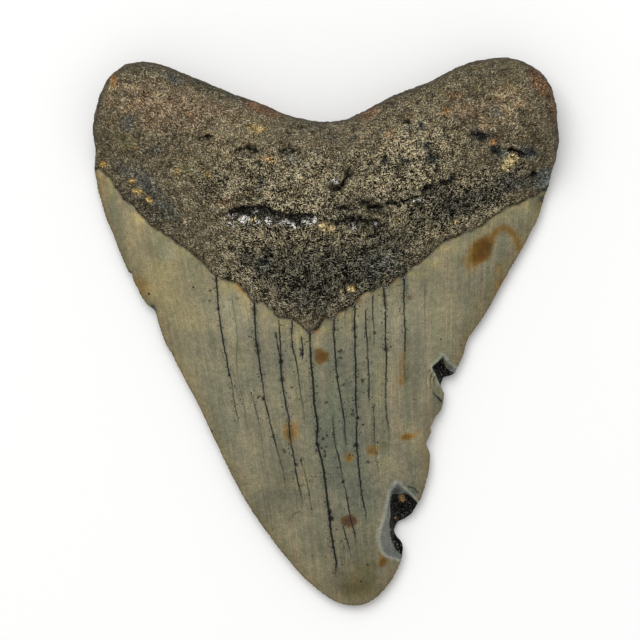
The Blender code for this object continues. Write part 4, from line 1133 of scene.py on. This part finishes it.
def with_tail(points, tone, wobble):
    """The tone with the curved tail of the big stain."""
    path, half, strength = STAIN_TAIL
    gap = distance_to(points + 0.12 * wobble, curve_through(path, 0.3)) / (half * PIXEL)
    tone = blend_tone(tone, AMBER, strength * fade((gap - 0.2) / 0.8))
    return blend_tone(tone, AMBER_DEEP, 0.45 * strength * fade(gap / 0.7))


def wobble_at(points):
    """Small sideways shifts that keep patches from looking like ellipses."""
    return np.column_stack([layered(points, layers) for layers in WOBBLES])


def crystal_cover(points, crystals):
    cover = np.zeros(len(points))
    for *spot, share in crystals:
        cover = np.maximum(cover, share * spot_mask(points, spot, CRYSTAL_SOFT))
    return cover


class InnerFace:
    """What the fields of the inner face share: where its points are, and what is cut into them."""

    def __init__(self, points, rise, outline):
        self.points, self.rise = points, rise
        self.on_root = above(points, ENAMEL_LINE) > TINY
        self.foot = distance_to(points, ENAMEL_LINE)
        self.to_outline = distance_to(points, outline[::2])
        self.spread = crown_spread(points)
        self.crown = crown_face(points, self.spread)
        self.wobble = wobble_at(points)
        self.fibres, self.streaks = root_fibres(points), crown_streaks(points)
        self.chipped, self.section, self.core, self.chip_gap = chip_fields(points, self.crown, self.spread)
        self.in_chip = (self.section > 0.0) | (self.core > 0.0)
        self.groove, self.crack, self.halo = crack_fields(points, CRACK_LINES)
        self.crack *= 1.0 - self.core
        shake = np.column_stack([layered(points, layers) for layers in FURROW_SHAKES])
        hollow, shaded = furrow_fields(points + 0.22 * self.wobble + shake)
        self.hollow, self.shaded = hollow * self.on_root, shaded * self.on_root
        self.inner = smooth((rise - 0.35) / 0.5)
        pore_share = self.on_root * mix(0.35, 1.0, self.inner) * smooth((self.foot - 0.3) / 1.0)
        self.pores = pore_fields(points, pore_share)

    def crown_height(self):
        """The crown with worn edges, chips, growth lines and cracks."""
        face = mix(EDGE_HEIGHT, self.crown, rounded(self.to_outline / EDGE_ROUND))
        height = np.where(self.in_chip, self.chipped, face)
        height += (layered(self.streaks / (0.7, 14.0), GROWTH_LINES) * smooth(self.to_outline / 2.0)
                   + layered(self.points, CROWN_WAVES) * smooth(self.spread / 0.2))
        height -= self.groove * (1.0 - self.core) * smooth(self.to_outline / 0.5)
        ticks = np.abs(np.sin(pi * (self.points[:, 1] * TICKS_STRETCH) / SERRATION)) - 0.5
        return height + TICKS * ticks * fade(self.to_outline / SERRATION_REACH) * (1.0 - self.in_chip)

    def root_height(self):
        """The root with its rounded rim and a ledge over the enamel."""
        rim = rim_height(self.points)
        full = root_face(self.points, self.crown, self.foot)
        body = mix(rim, np.maximum(full, rim), self.rise)
        body = np.maximum(body, self.crown * fade(self.foot / CROWN_AT_LEDGE_RUN))
        return mix(self.crown, body, rounded(self.foot / LEDGE_ROUND))

    def relief(self):
        """How far the root's surface stands out along the normals."""
        grain = layered(self.points, ROOT_GRAIN) + layered(self.fibres / (0.55, 1.9), FIBRE_GRAIN)
        away = smooth((self.foot - 0.05) / 0.4) * self.on_root
        return away * grain * mix(0.45, 1.0, self.inner) - self.hollow - self.pores

    def stone(self):
        """Tone of the root."""
        tone = painted(self.points, ROOT_PATCHES, plain(BROWN, self.points), self.wobble)
        # Painted shade in the slot, the furrows, the pits and the pores.
        shade = 0.95 * self.shaded + 0.7 * np.clip(self.pores / 0.5, 0.0, 1.0)
        tone = blend_tone(tone, BLACK, np.clip(shade, 0.0, 0.95))
        # Painted shade along the foot of the ledge, with a ragged reach.
        ragged_foot = self.foot - (0.25 + layered(self.points, LEDGE_SHADE))
        tone *= mix(LEDGE_PAINTED_SHADE, 1.0, smooth(ragged_foot / 0.5))[:, None]
        # Painted shade on the rounded rim, darker as it turns down.
        return tone * mix(RIM_SHADE, 1.0, smooth(self.rise / RIM_SHADE_RISE))[:, None]

    def edge_tints(self, tone):
        """Yellow below the root; the tan band of the cutting edges, partly tan colour and partly painted
        shade where the enamel rounds down to them; and their olive line.
        """
        tint = BOUNDARY_TINT * fade(self.foot / BOUNDARY_REACH)
        tint *= np.clip(0.6 + layered(self.points, YELLOW_SHARE), 0.0, 1.5)
        tone = blend_tone(tone, ENAMEL_YELLOW, tint)
        # Tan band, partly painted shade where the enamel rounds down to the cutting edges.
        band = EDGE_BAND * fade((self.to_outline + layered(self.points, BAND_WANDER)) / EDGE_BAND_REACH)
        tone = blend_tone(tone, EDGE_TAN_AND_SHADE, band * (1.0 - self.in_chip))
        uneven = np.clip(0.7 + layered(self.points, EDGE_SHARE), 0.1, 1.2) * (1.0 - self.in_chip)
        edge = np.clip(EDGE_TINT * uneven * fade(self.to_outline / EDGE_REACH), 0.0, 1.0)
        return blend_tone(tone, EDGE_OLIVE, edge)

    def broken(self, tone):
        """The tone with that of the chips laid over it."""
        tone = painted(self.points, CHIP_PATCHES, blend_tone(tone, SECTION, self.section), self.wobble)
        rim = CHIP_RIM_TINT * fade(abs(self.chip_gap - CHIP_RIM_PLACE) / CHIP_RIM_WIDTH) * (self.core < 0.5)
        tone = blend_tone(tone, SECTION_RIM, rim)
        # The chips' cores near black: the dark dentine, deepened by painted shade of the hollow.
        return np.where(self.core[:, None] > 0.0, plain(BLACK, self.points), tone)

    def glaze(self):
        """Tone of the crown."""
        points, wobble = self.points, self.wobble
        tone = self.edge_tints(painted(points, ENAMEL_TINTS, plain(ENAMEL, points), wobble))
        tone = with_tail(points, painted(points, ENAMEL_STAINS, tone, wobble), wobble)
        tone = self.broken(blend_tone(tone, ENAMEL_GREY, 0.4 * self.halo))
        tone = blend_tone(tone, BLACK, np.clip(1.4 * self.crack, 0.0, 0.97))
        around = points + 0.3 * wobble
        for x, y, radius in DARK_BEADS:
            tone = blend_tone(tone, BLACK, 0.95 * round_mask(around, x, y, 1.3 * radius + 0.5, 0.5))
        for x, y, radius in WHITE_SPECKS:
            tone = blend_tone(tone, WHITE_SPECK, 0.7 * round_mask(points, x, y, radius + 0.2, 0.8))
        shade = np.clip(self.foot + layered(points, ENAMEL_SHADE), 0.0, 1.0)
        return tone * mix(SHADOW_LINE, 1.0, smooth((shade - 0.02) / 0.24))[:, None]

    def fields(self):
        """Heights, reliefs, tones and masks of all the points."""
        height = np.where(self.on_root, self.root_height(), self.crown_height())
        stone_or_glaze = self.on_root[:, None]
        white = crystal_cover(self.points + WHITE_SWAY * self.wobble, WHITE_CRYSTALS)
        rough = painted(self.points, ROUGH_PATCHES, plain((ROUGH_BASE,), self.points), self.wobble)[:, 0]
        return {
            "z": height,
            "lift": self.relief(),
            "tone": np.where(stone_or_glaze, self.stone(), self.glaze()),
            "specks": np.where(self.on_root, white, self.halo * (1.0 - self.in_chip)),
            "gold": crystal_cover(self.points + GOLD_SWAY * self.wobble, GOLD_CRYSTALS),
            "core": self.core,
            "rough": rough * mix(0.55, 1.0, smooth(self.rise / 0.8)) * (1.0 - 0.7 * self.shaded),
            "streak": np.where(stone_or_glaze, down_the_side(self.fibres, height), self.streaks),
        }


def back_height(points, past, rise, crown):
    """Height of the root on the outer face, from the crown's height at its foot."""
    stone = mix(rim_height(points), root_back(points, np.maximum(past, 0.0)), rise)
    return mix(crown, stone, rounded(past / BACK_LEDGE_ROUND))


def back_stone(points, past, rise, mottle):
    tone = blend_tone(plain(BROWN, points), DARK, 0.6 * mottle)
    tone = blend_tone(tone, RUST, 0.35 * np.clip(layered(points, BACK_RUST) - 0.6, 0.0, 1.0))
    # Painted shade along the foot of the step up from the enamel.
    ledge = mix(BACK_LEDGE_PAINTED_SHADE, 1.0, smooth(past / 0.9))
    # Painted shade on the rounded rim, as on the inner face.
    return tone * (ledge * mix(RIM_SHADE, 1.0, smooth(rise / RIM_SHADE_RISE)))[:, None]


def back_glaze(points, past, mottle, to_outline, crack, halo):
    tone = blend_tone(plain(ENAMEL, points), ENAMEL_GREY, mottle)
    tone = blend_tone(tone, ENAMEL_YELLOW, 0.6 * fade(-past / 5.0))
    tone = blend_tone(tone, TIP_OLIVE, 0.6 * smooth((-38.0 - points[:, 1]) / 12.0))
    stains = np.clip(layered(points + wobble_at(points), BACK_STAINS) - 1.9, 0.0, 1.0)
    tone = blend_tone(tone, AMBER, 0.7 * stains)
    tone = blend_tone(tone, AMBER, EDGE_TINT * fade(to_outline / EDGE_REACH))
    tone = blend_tone(tone, ENAMEL_LOW, 0.35 * halo)
    tone = blend_tone(tone, BLACK, 0.95 * crack)
    chipped = (in_chips(points) > 0.0)[:, None] & (to_outline < CHIP_BACK_REACH)[:, None]
    return np.where(chipped, SECTION, tone)


def back_fields(points, rise, outline):
    """The fields of the flat outer face."""
    past = above(points, BACK_LINE)
    on_root = past > TINY
    crown = crown_back(points, crown_spread(points))
    groove, crack, halo = crack_fields(points, BACK_CRACKS)
    height = np.where(on_root, back_height(points, past, rise, crown), crown + groove * BACK_CRACK_DEPTH)
    mottle = np.clip(0.5 + layered(points, BACK_MOTTLE), 0.0, 1.0)
    glaze = back_glaze(points, past, mottle, distance_to(points, outline[::2]), crack, halo)
    fibres = down_the_side(root_fibres(points), height)
    none = np.zeros(len(points))
    return {
        "z": height,
        "lift": on_root * layered(points, BACK_GRAIN) * smooth(past / 1.0) - on_root * 0.12,
        "tone": np.where(on_root[:, None], back_stone(points, past, rise, mottle), glaze),
        "specks": none,
        "gold": none,
        "core": none,
        "rough": none + ROUGH_BASE,
        "streak": np.where(on_root[:, None], fibres, crown_streaks(points)),
    }


def wall_between(top_ring, bottom_ring, first):
    """Triangles of the narrow wall that joins the two faces, in rows of vertices."""
    count = len(top_ring)
    rows = [first + count * row + np.arange(count) for row in range(WALL_ROWS)]
    rows = [top_ring] + rows + [bottom_ring]
    faces = []
    for upper, lower in zip(rows, rows[1:]):
        next_upper, next_lower = np.roll(upper, -1), np.roll(lower, -1)
        faces.append(np.column_stack((upper, next_upper, lower)))
        faces.append(np.column_stack((next_upper, next_lower, lower)))
    return np.vstack(faces)


def material_slots(triangles, counts, past, core, on_margin):
    """Material numbers: 0 root, 1 enamel, 2 dentine."""
    top_count, back_count = counts
    slots = np.ones(len(triangles), int)
    faces_end = top_count + back_count
    slots[:faces_end] = np.where(past[triangles[:faces_end]].sum(1) > TINY, 0, 1)
    slots[faces_end:] = np.where(np.tile(on_margin, 2 * (WALL_ROWS + 1)), 0, 1)
    slots[core[triangles].min(1) > 0.5] = 2
    return slots


def tooth_arrays():
    """Vertices, triangles, material numbers and fields of the whole tooth."""
    ring = np.vstack((MARGIN, serrated(OUTLINE_RIGHT)[1:], serrated(OUTLINE_LEFT)[1:-1]))
    top = Side(ring, len(MARGIN), ROOT_RIM_RADIUS)
    back = Side(ring, len(MARGIN), ROOT_BACK_RADIUS)
    plan, faces, on_ring = triangulated(top.ring, *top_points(top))
    back_plan, back_faces, back_on_ring = triangulated(back.ring, *back_points(back))
    real, rise = top.rolled_back(plan)
    back_real, back_rise = back.rolled_back(back_plan)
    closed = np.vstack((ring, ring[:1]))
    upper = InnerFace(real, rise, closed).fields()
    under = back_fields(back_real, back_rise, closed)

    # The two faces part a little at the outline, and a wall joins them.
    upper["z"][on_ring] += LEAST_WALL
    under["z"][back_on_ring] = np.minimum(
        under["z"][back_on_ring], upper["z"][on_ring] - LEAST_WALL) - LEAST_WALL
    tops, unders = len(real), len(back_real)
    back_on_ring = back_on_ring + tops
    places = np.vstack((np.column_stack((real, upper["z"])), np.column_stack((back_real, under["z"]))))
    fields = {name: np.concatenate((upper[name], under[name], *[upper[name][on_ring]] * WALL_ROWS))
              for name in upper if name != "z"}
    shares = (np.arange(WALL_ROWS) + 1) / (WALL_ROWS + 1)
    walls = [mix(places[on_ring], places[back_on_ring], share) for share in shares]
    places = np.vstack([places] + walls)
    wall = wall_between(on_ring, back_on_ring, tops + unders)
    triangles = np.vstack((faces, back_faces[:, ::-1] + tops, wall))

    past = np.concatenate((above(real, ENAMEL_LINE), above(back_real, BACK_LINE)))
    on_margin = np.arange(len(on_ring)) < len(MARGIN)
    slots = material_slots(triangles, (len(faces), len(back_faces)), past, fields["core"], on_margin)
    places = places + vertex_normals(places, triangles) * fields.pop("lift")[:, None]
    places[:, 2] = np.maximum(places[:, 2], 0.0)
    return fit_to_box(places), triangles, slots, fields


def fit_to_box(places):
    """Scale each side by the last fraction, so that the tooth fills the solid's box."""
    low, high = (np.array(corner) / MM for corner in CAD_BOX)
    first, last = places.min(0), places.max(0)
    share = (places - first) / (last - first)
    return low + BOX_INSET + share * (high - low - 2 * BOX_INSET)


def make_tooth():
    places, triangles, slots, fields = tooth_arrays()
    mesh = bpy.data.meshes.new("tooth")
    mesh.from_pydata((places * MM).tolist(), [], triangles.tolist())
    mesh.polygons.foreach_set("material_index", slots)
    mesh.shade_smooth()
    fields["tone"] = np.column_stack((np.clip(fields["tone"], 0.0, 1.0), np.ones(len(places))))
    fields["streak"] = np.column_stack((fields["streak"], np.zeros(len(places))))
    for name, kind, key in (("tone", "FLOAT_COLOR", "color"), ("specks", "FLOAT", "value"),
                            ("gold", "FLOAT", "value"), ("rough", "FLOAT", "value"),
                            ("streak", "FLOAT_VECTOR", "vector")):
        attribute = mesh.attributes.new(name, kind, "POINT")
        attribute.data.foreach_set(key, np.ascontiguousarray(fields[name], np.float32).ravel())
    mesh.update()
    tooth = bpy.data.objects.new("fossil_tooth", mesh)
    bpy.context.scene.collection.objects.link(tooth)
    for material in (root_material(), enamel_material(), dentine_material()):
        mesh.materials.append(material)
    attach(tooth, "root")
    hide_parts(NODE)


class Shader:
    """Node tree of one material, with short calls for its usual nodes."""

    def __init__(self, name):
        self.material = bpy.data.materials.new(name)
        self.material.use_nodes = True
        self.tree = self.material.node_tree
        self.surface = self.tree.nodes["Principled BSDF"]
        self.place = self.scaled(self.node("TexCoord", {}).outputs["Object"], 1.0 / MM)

    def put(self, socket, value):
        if isinstance(value, bpy.types.NodeSocket):
            self.tree.links.new(value, socket)
        else:
            socket.default_value = value

    def node(self, kind, inputs, **settings):
        """A node with its settings, and with numbers or other nodes' outputs for its inputs."""
        node = self.tree.nodes.new("ShaderNode" + kind)
        for name, value in settings.items():
            setattr(node, name, value)
        for socket, value in inputs.items():
            self.put(node.inputs[socket], value)
        return node

    def math(self, operation, first, second=0.0):
        return self.node("Math", {0: first, 1: second}, operation=operation).outputs[0]

    def plus(self, first, second):
        return self.math("ADD", first, second)

    def less(self, first, second):
        return self.math("SUBTRACT", first, second)

    def times(self, first, second):
        return self.math("MULTIPLY", first, second)

    def weighted(self, *parts):
        """Sum of values, each with its weight."""
        total = 0.0
        for value, weight in parts:
            total = self.plus(total, self.times(value, weight))
        return total

    def between(self, share, first, second):
        """A number between two others."""
        return self.plus(self.times(first, self.less(1.0, share)), self.times(second, share))

    def stretch(self, vector, scale):
        return self.node("VectorMath", {0: vector, 1: scale}, operation="MULTIPLY").outputs[0]

    def scaled(self, vector, factor):
        """A colour or a place times a number."""
        return self.node("VectorMath", {0: vector, "Scale": factor}, operation="SCALE").outputs[0]

    def noise(self, vector, scale, detail=2.0, roughness=0.5, distortion=0.0):
        return self.node("TexNoise", {"Vector": vector, "Scale": scale, "Detail": detail,
                                      "Roughness": roughness, "Distortion": distortion}).outputs["Fac"]

    def cells(self, vector, scale):
        node = self.node("TexVoronoi", {"Vector": vector, "Scale": scale})
        return node.outputs["Distance"], node.outputs["Color"]

    def attribute(self, name, output="Fac"):
        return self.node("Attribute", {}, attribute_name=name).outputs[output]

    def ramp(self, value, *stops):
        node = self.node("ValToRGB", {"Fac": value})
        while len(node.color_ramp.elements) < len(stops):
            node.color_ramp.elements.new(1.0)
        for element, (place, colour) in zip(node.color_ramp.elements, stops):
            element.position = place
            element.color = (*colour, 1.0)
        return node.outputs["Color"]

    def step(self, value, low, high):
        """0 below low and 1 above high."""
        return self.node("MapRange", {"Value": value, "From Min": low, "From Max": high},
                         interpolation_type="SMOOTHSTEP").outputs["Result"]

    def blend(self, share, first, second, kind="MIX"):
        colours = [(*colour, 1.0) if isinstance(colour, tuple) else colour for colour in (first, second)]
        return self.node("Mix", {0: share, 6: colours[0], 7: colours[1]},
                         data_type="RGBA", blend_type=kind, clamp_result=False).outputs[2]

    def tinted(self, colour, share, low, high):
        """The colour times a tint between two others."""
        return self.blend(1.0, colour, self.blend(share, low, high), "MULTIPLY")

    def threads(self, value, width, soft):
        """1 on the winding lines where a noise passes its middle, 0 away from them."""
        off = self.math("ABSOLUTE", self.less(value, 0.5))
        return self.step(self.less(width, off), 0.0, soft)

    def finish(self, colour, roughness, gloss, height, strength, depth):
        """The material, with its colour, its shine and its bumps."""
        bump = self.node("Bump", {"Strength": strength, "Distance": depth * MM, "Height": height})
        for socket, value in (("Normal", bump.outputs["Normal"]), ("Base Color", colour),
                              ("Roughness", roughness), ("Specular IOR Level", gloss)):
            self.put(self.surface.inputs[socket], value)
        return self.material


def root_speckle(shader):
    """Short hair-like strokes that turn from patch to patch, with grains and winding lines."""
    fibres = shader.attribute("streak", "Vector")
    fine = shader.noise(shader.place, 6.0, 0.0)
    medium = shader.noise(shader.place, 2.2, 2.0, 0.6)
    along = shader.noise(shader.stretch(fibres, (6.8, 1.65, 1.0)), 1.0, 0.8, 0.5, 0.6)
    across = shader.noise(shader.stretch(shader.place, (1.8, 6.8, 3.0)), 1.0, 0.8, 0.5, 0.6)
    turned = shader.step(shader.noise(shader.place, 0.6, 2.0, 0.6), 0.46, 0.54)
    strokes = shader.between(turned, along, across)
    worms = shader.threads(shader.noise(shader.place, 1.7, 1.0, 0.5, 0.8), 0.05, 0.05)
    return shader.weighted((fine, 0.3), (medium, 0.03), (strokes, 0.58), (worms, 0.09))


def root_material():
    """Speckled stone with rusty and bluish clouds, pale grains, and crystals in its hollows."""
    shader = Shader("root_stone")
    rough = shader.attribute("rough")
    speckle = root_speckle(shader)
    clots = shader.noise(shader.place, 0.7, 0.8)
    middle = shader.plus(shader.times(rough, SPECKLE_MIDDLE_ROUGH), SPECKLE_MIDDLE)
    swing = shader.times(shader.less(speckle, middle), shader.times(rough, SPECKLE_CONTRAST))
    swing = shader.plus(swing, shader.times(shader.less(clots, 0.5), shader.times(rough, CLOT_CONTRAST)))
    swing = shader.math("MINIMUM", swing, MOST_SWING)
    colour = shader.scaled(shader.attribute("tone", "Color"), shader.math("EXPONENT", swing))
    hues = shader.noise(shader.place, 0.95, 2.0, 0.55)
    colour = shader.tinted(colour, shader.step(hues, 0.53, 0.68), NO_TINT, RUSTY)
    colour = shader.tinted(colour, shader.step(hues, 0.47, 0.33), NO_TINT, BLUISH)
    light = shader.ramp(shader.noise(shader.place, 1.7, 1.0), *GRAIN_COLOURS)
    colour = shader.blend(shader.times(shader.step(swing, 0.4, 1.8), 0.6), colour, light)
    crystals = shader.noise(shader.place, 1.35, 1.0, 0.6, 1.2)
    for name, cover, ground, width, crystal in CRYSTAL_KINDS:
        mask = shader.attribute(name)
        colour = shader.blend(shader.times(mask, cover), colour, ground)
        colour = shader.blend(shader.threads(crystals, shader.times(mask, width), 0.02), colour, crystal)
    return shader.finish(colour, 0.66, 0.05, shader.weighted((speckle, 1.0), (clots, 0.6)), 0.8, 0.4)


def enamel_dots(shader, colour, mottle, grain):
    """The colour with rare dark dots, and with dark beads that gather beside the cracks."""
    distance, chance = shader.cells(shader.place, 0.85)
    size = shader.times(shader.step(shader.noise(shader.place, 0.4, 1.0), 0.4, 0.8), 0.2)
    ragged_distance = shader.weighted((distance, 1.0), (mottle, 0.35))
    dots = shader.step(shader.less(ragged_distance, size), 0.2, 0.14)
    colour = shader.blend(shader.times(dots, shader.step(chance, 0.74, 0.78)), colour, DOT_TONE)
    distance, chance = shader.cells(shader.place, 2.4)
    beads = shader.step(shader.weighted((distance, 1.0), (grain, 0.3)), 0.6, 0.42)
    chance = shader.weighted((chance, 1.0), (shader.attribute("specks"), 0.5))
    beads = shader.times(shader.times(beads, shader.step(chance, 0.94, 0.98)), 0.85)
    return shader.blend(beads, colour, DOT_TONE)


def enamel_material():
    """Satin enamel with growth lines, soft bands and clouds, and dark dots."""
    shader = Shader("enamel")
    streak = shader.attribute("streak", "Vector")
    lines = shader.noise(shader.stretch(streak, (3.2, 0.1, 1.0)), 1.0, 3.0, 0.6)
    bands = shader.noise(shader.stretch(streak, (0.8, 0.03, 1.0)), 1.0, 1.0)
    mottle = shader.noise(shader.place, 1.1, 3.0, 0.6)
    grain = shader.noise(shader.place, 5.0, 1.0)
    clouds = shader.noise(shader.place, 0.16, 3.0, 0.55)
    swing = shader.weighted((lines, 0.8), (mottle, 0.9), (grain, 1.2), (clouds, 1.0), (bands, 0.4))
    swing = shader.math("EXPONENT", shader.less(swing, 2.12))
    colour = shader.scaled(shader.attribute("tone", "Color"), swing)
    colour = shader.tinted(colour, shader.step(clouds, 0.38, 0.62), COOL_CLOUDS, WARM_CLOUDS)
    colour = shader.tinted(colour, shader.step(bands, 0.36, 0.64), GREEN_BANDS, PINK_BANDS)
    colour = enamel_dots(shader, colour, mottle, grain)
    return shader.finish(colour, 0.48, 0.14, shader.weighted((lines, 0.6), (mottle, 0.6)), 0.3, 0.12)


def dentine_material():
    """Dark, grainy stone in the chips, with grey and golden glints."""
    shader = Shader("dentine")
    grain = shader.noise(shader.place, 3.0, 3.0, 0.7)
    swing = shader.math("POWER", 4000.0, shader.less(grain, 0.5))
    colour = shader.scaled(shader.attribute("tone", "Color"), swing)
    glints = shader.noise(shader.place, 4.2, 1.0)
    colour = shader.blend(shader.step(glints, 0.6, 0.68), colour, GLINT_TONE)
    lit = shader.threads(glints, shader.times(shader.attribute("gold"), 0.12), 0.04)
    colour = shader.blend(lit, colour, GOLD_GLINT_TONE)
    return shader.finish(colour, 0.6, 0.08, grain, 0.9, 0.4)


def make_floor():
    bpy.ops.mesh.primitive_plane_add(size=FLOOR_SIZE, location=(0.0, 0.0, 0.0))
    floor = bpy.context.object
    floor.name = "floor"
    paper = bpy.data.materials.new("floor_paper")
    paper.use_nodes = True
    surface = paper.node_tree.nodes["Principled BSDF"]
    surface.inputs["Base Color"].default_value = FLOOR_TONE
    surface.inputs["Roughness"].default_value = 0.9
    surface.inputs["Specular IOR Level"].default_value = 0.1
    floor.data.materials.append(paper)


def make_light():
    """An even white studio, and one broad soft lamp from the upper left."""
    world = bpy.data.worlds.new("studio")
    bpy.context.scene.world = world
    world.use_nodes = True
    background = world.node_tree.nodes["Background"]
    background.inputs["Color"].default_value = (1.0, 1.0, 1.0, 1.0)
    background.inputs["Strength"].default_value = WORLD_STRENGTH
    key = bpy.data.lights.new("key", "AREA")
    key.size = KEY_SIZE
    key.energy = KEY_POWER
    lamp = bpy.data.objects.new("key", key)
    lamp.location = KEY_PLACE
    lamp.rotation_euler = (-Vector(KEY_PLACE)).to_track_quat("-Z", "Y").to_euler()
    bpy.context.scene.collection.objects.link(lamp)


def make_camera():
    """Straight down, framed as the photograph."""
    lens = bpy.data.cameras.new("camera")
    x, y = from_px(FRAME_MIDDLE_PX) * MM
    width = FRAME_WIDTH_PX * PIXEL * MM
    lens.sensor_width = SENSOR
    lens.lens = SENSOR * (CAMERA_HEIGHT - CAMERA_FOCUS_HEIGHT) / width
    lens.clip_start = 0.05
    lens.clip_end = 20.0
    camera = bpy.data.objects.new("camera", lens)
    camera.location = (x, y, CAMERA_HEIGHT)
    bpy.context.scene.collection.objects.link(camera)
    bpy.context.scene.camera = camera
    bpy.context.scene.view_settings.view_transform = "Standard"


make_tooth()
make_floor()
make_light()
make_camera()
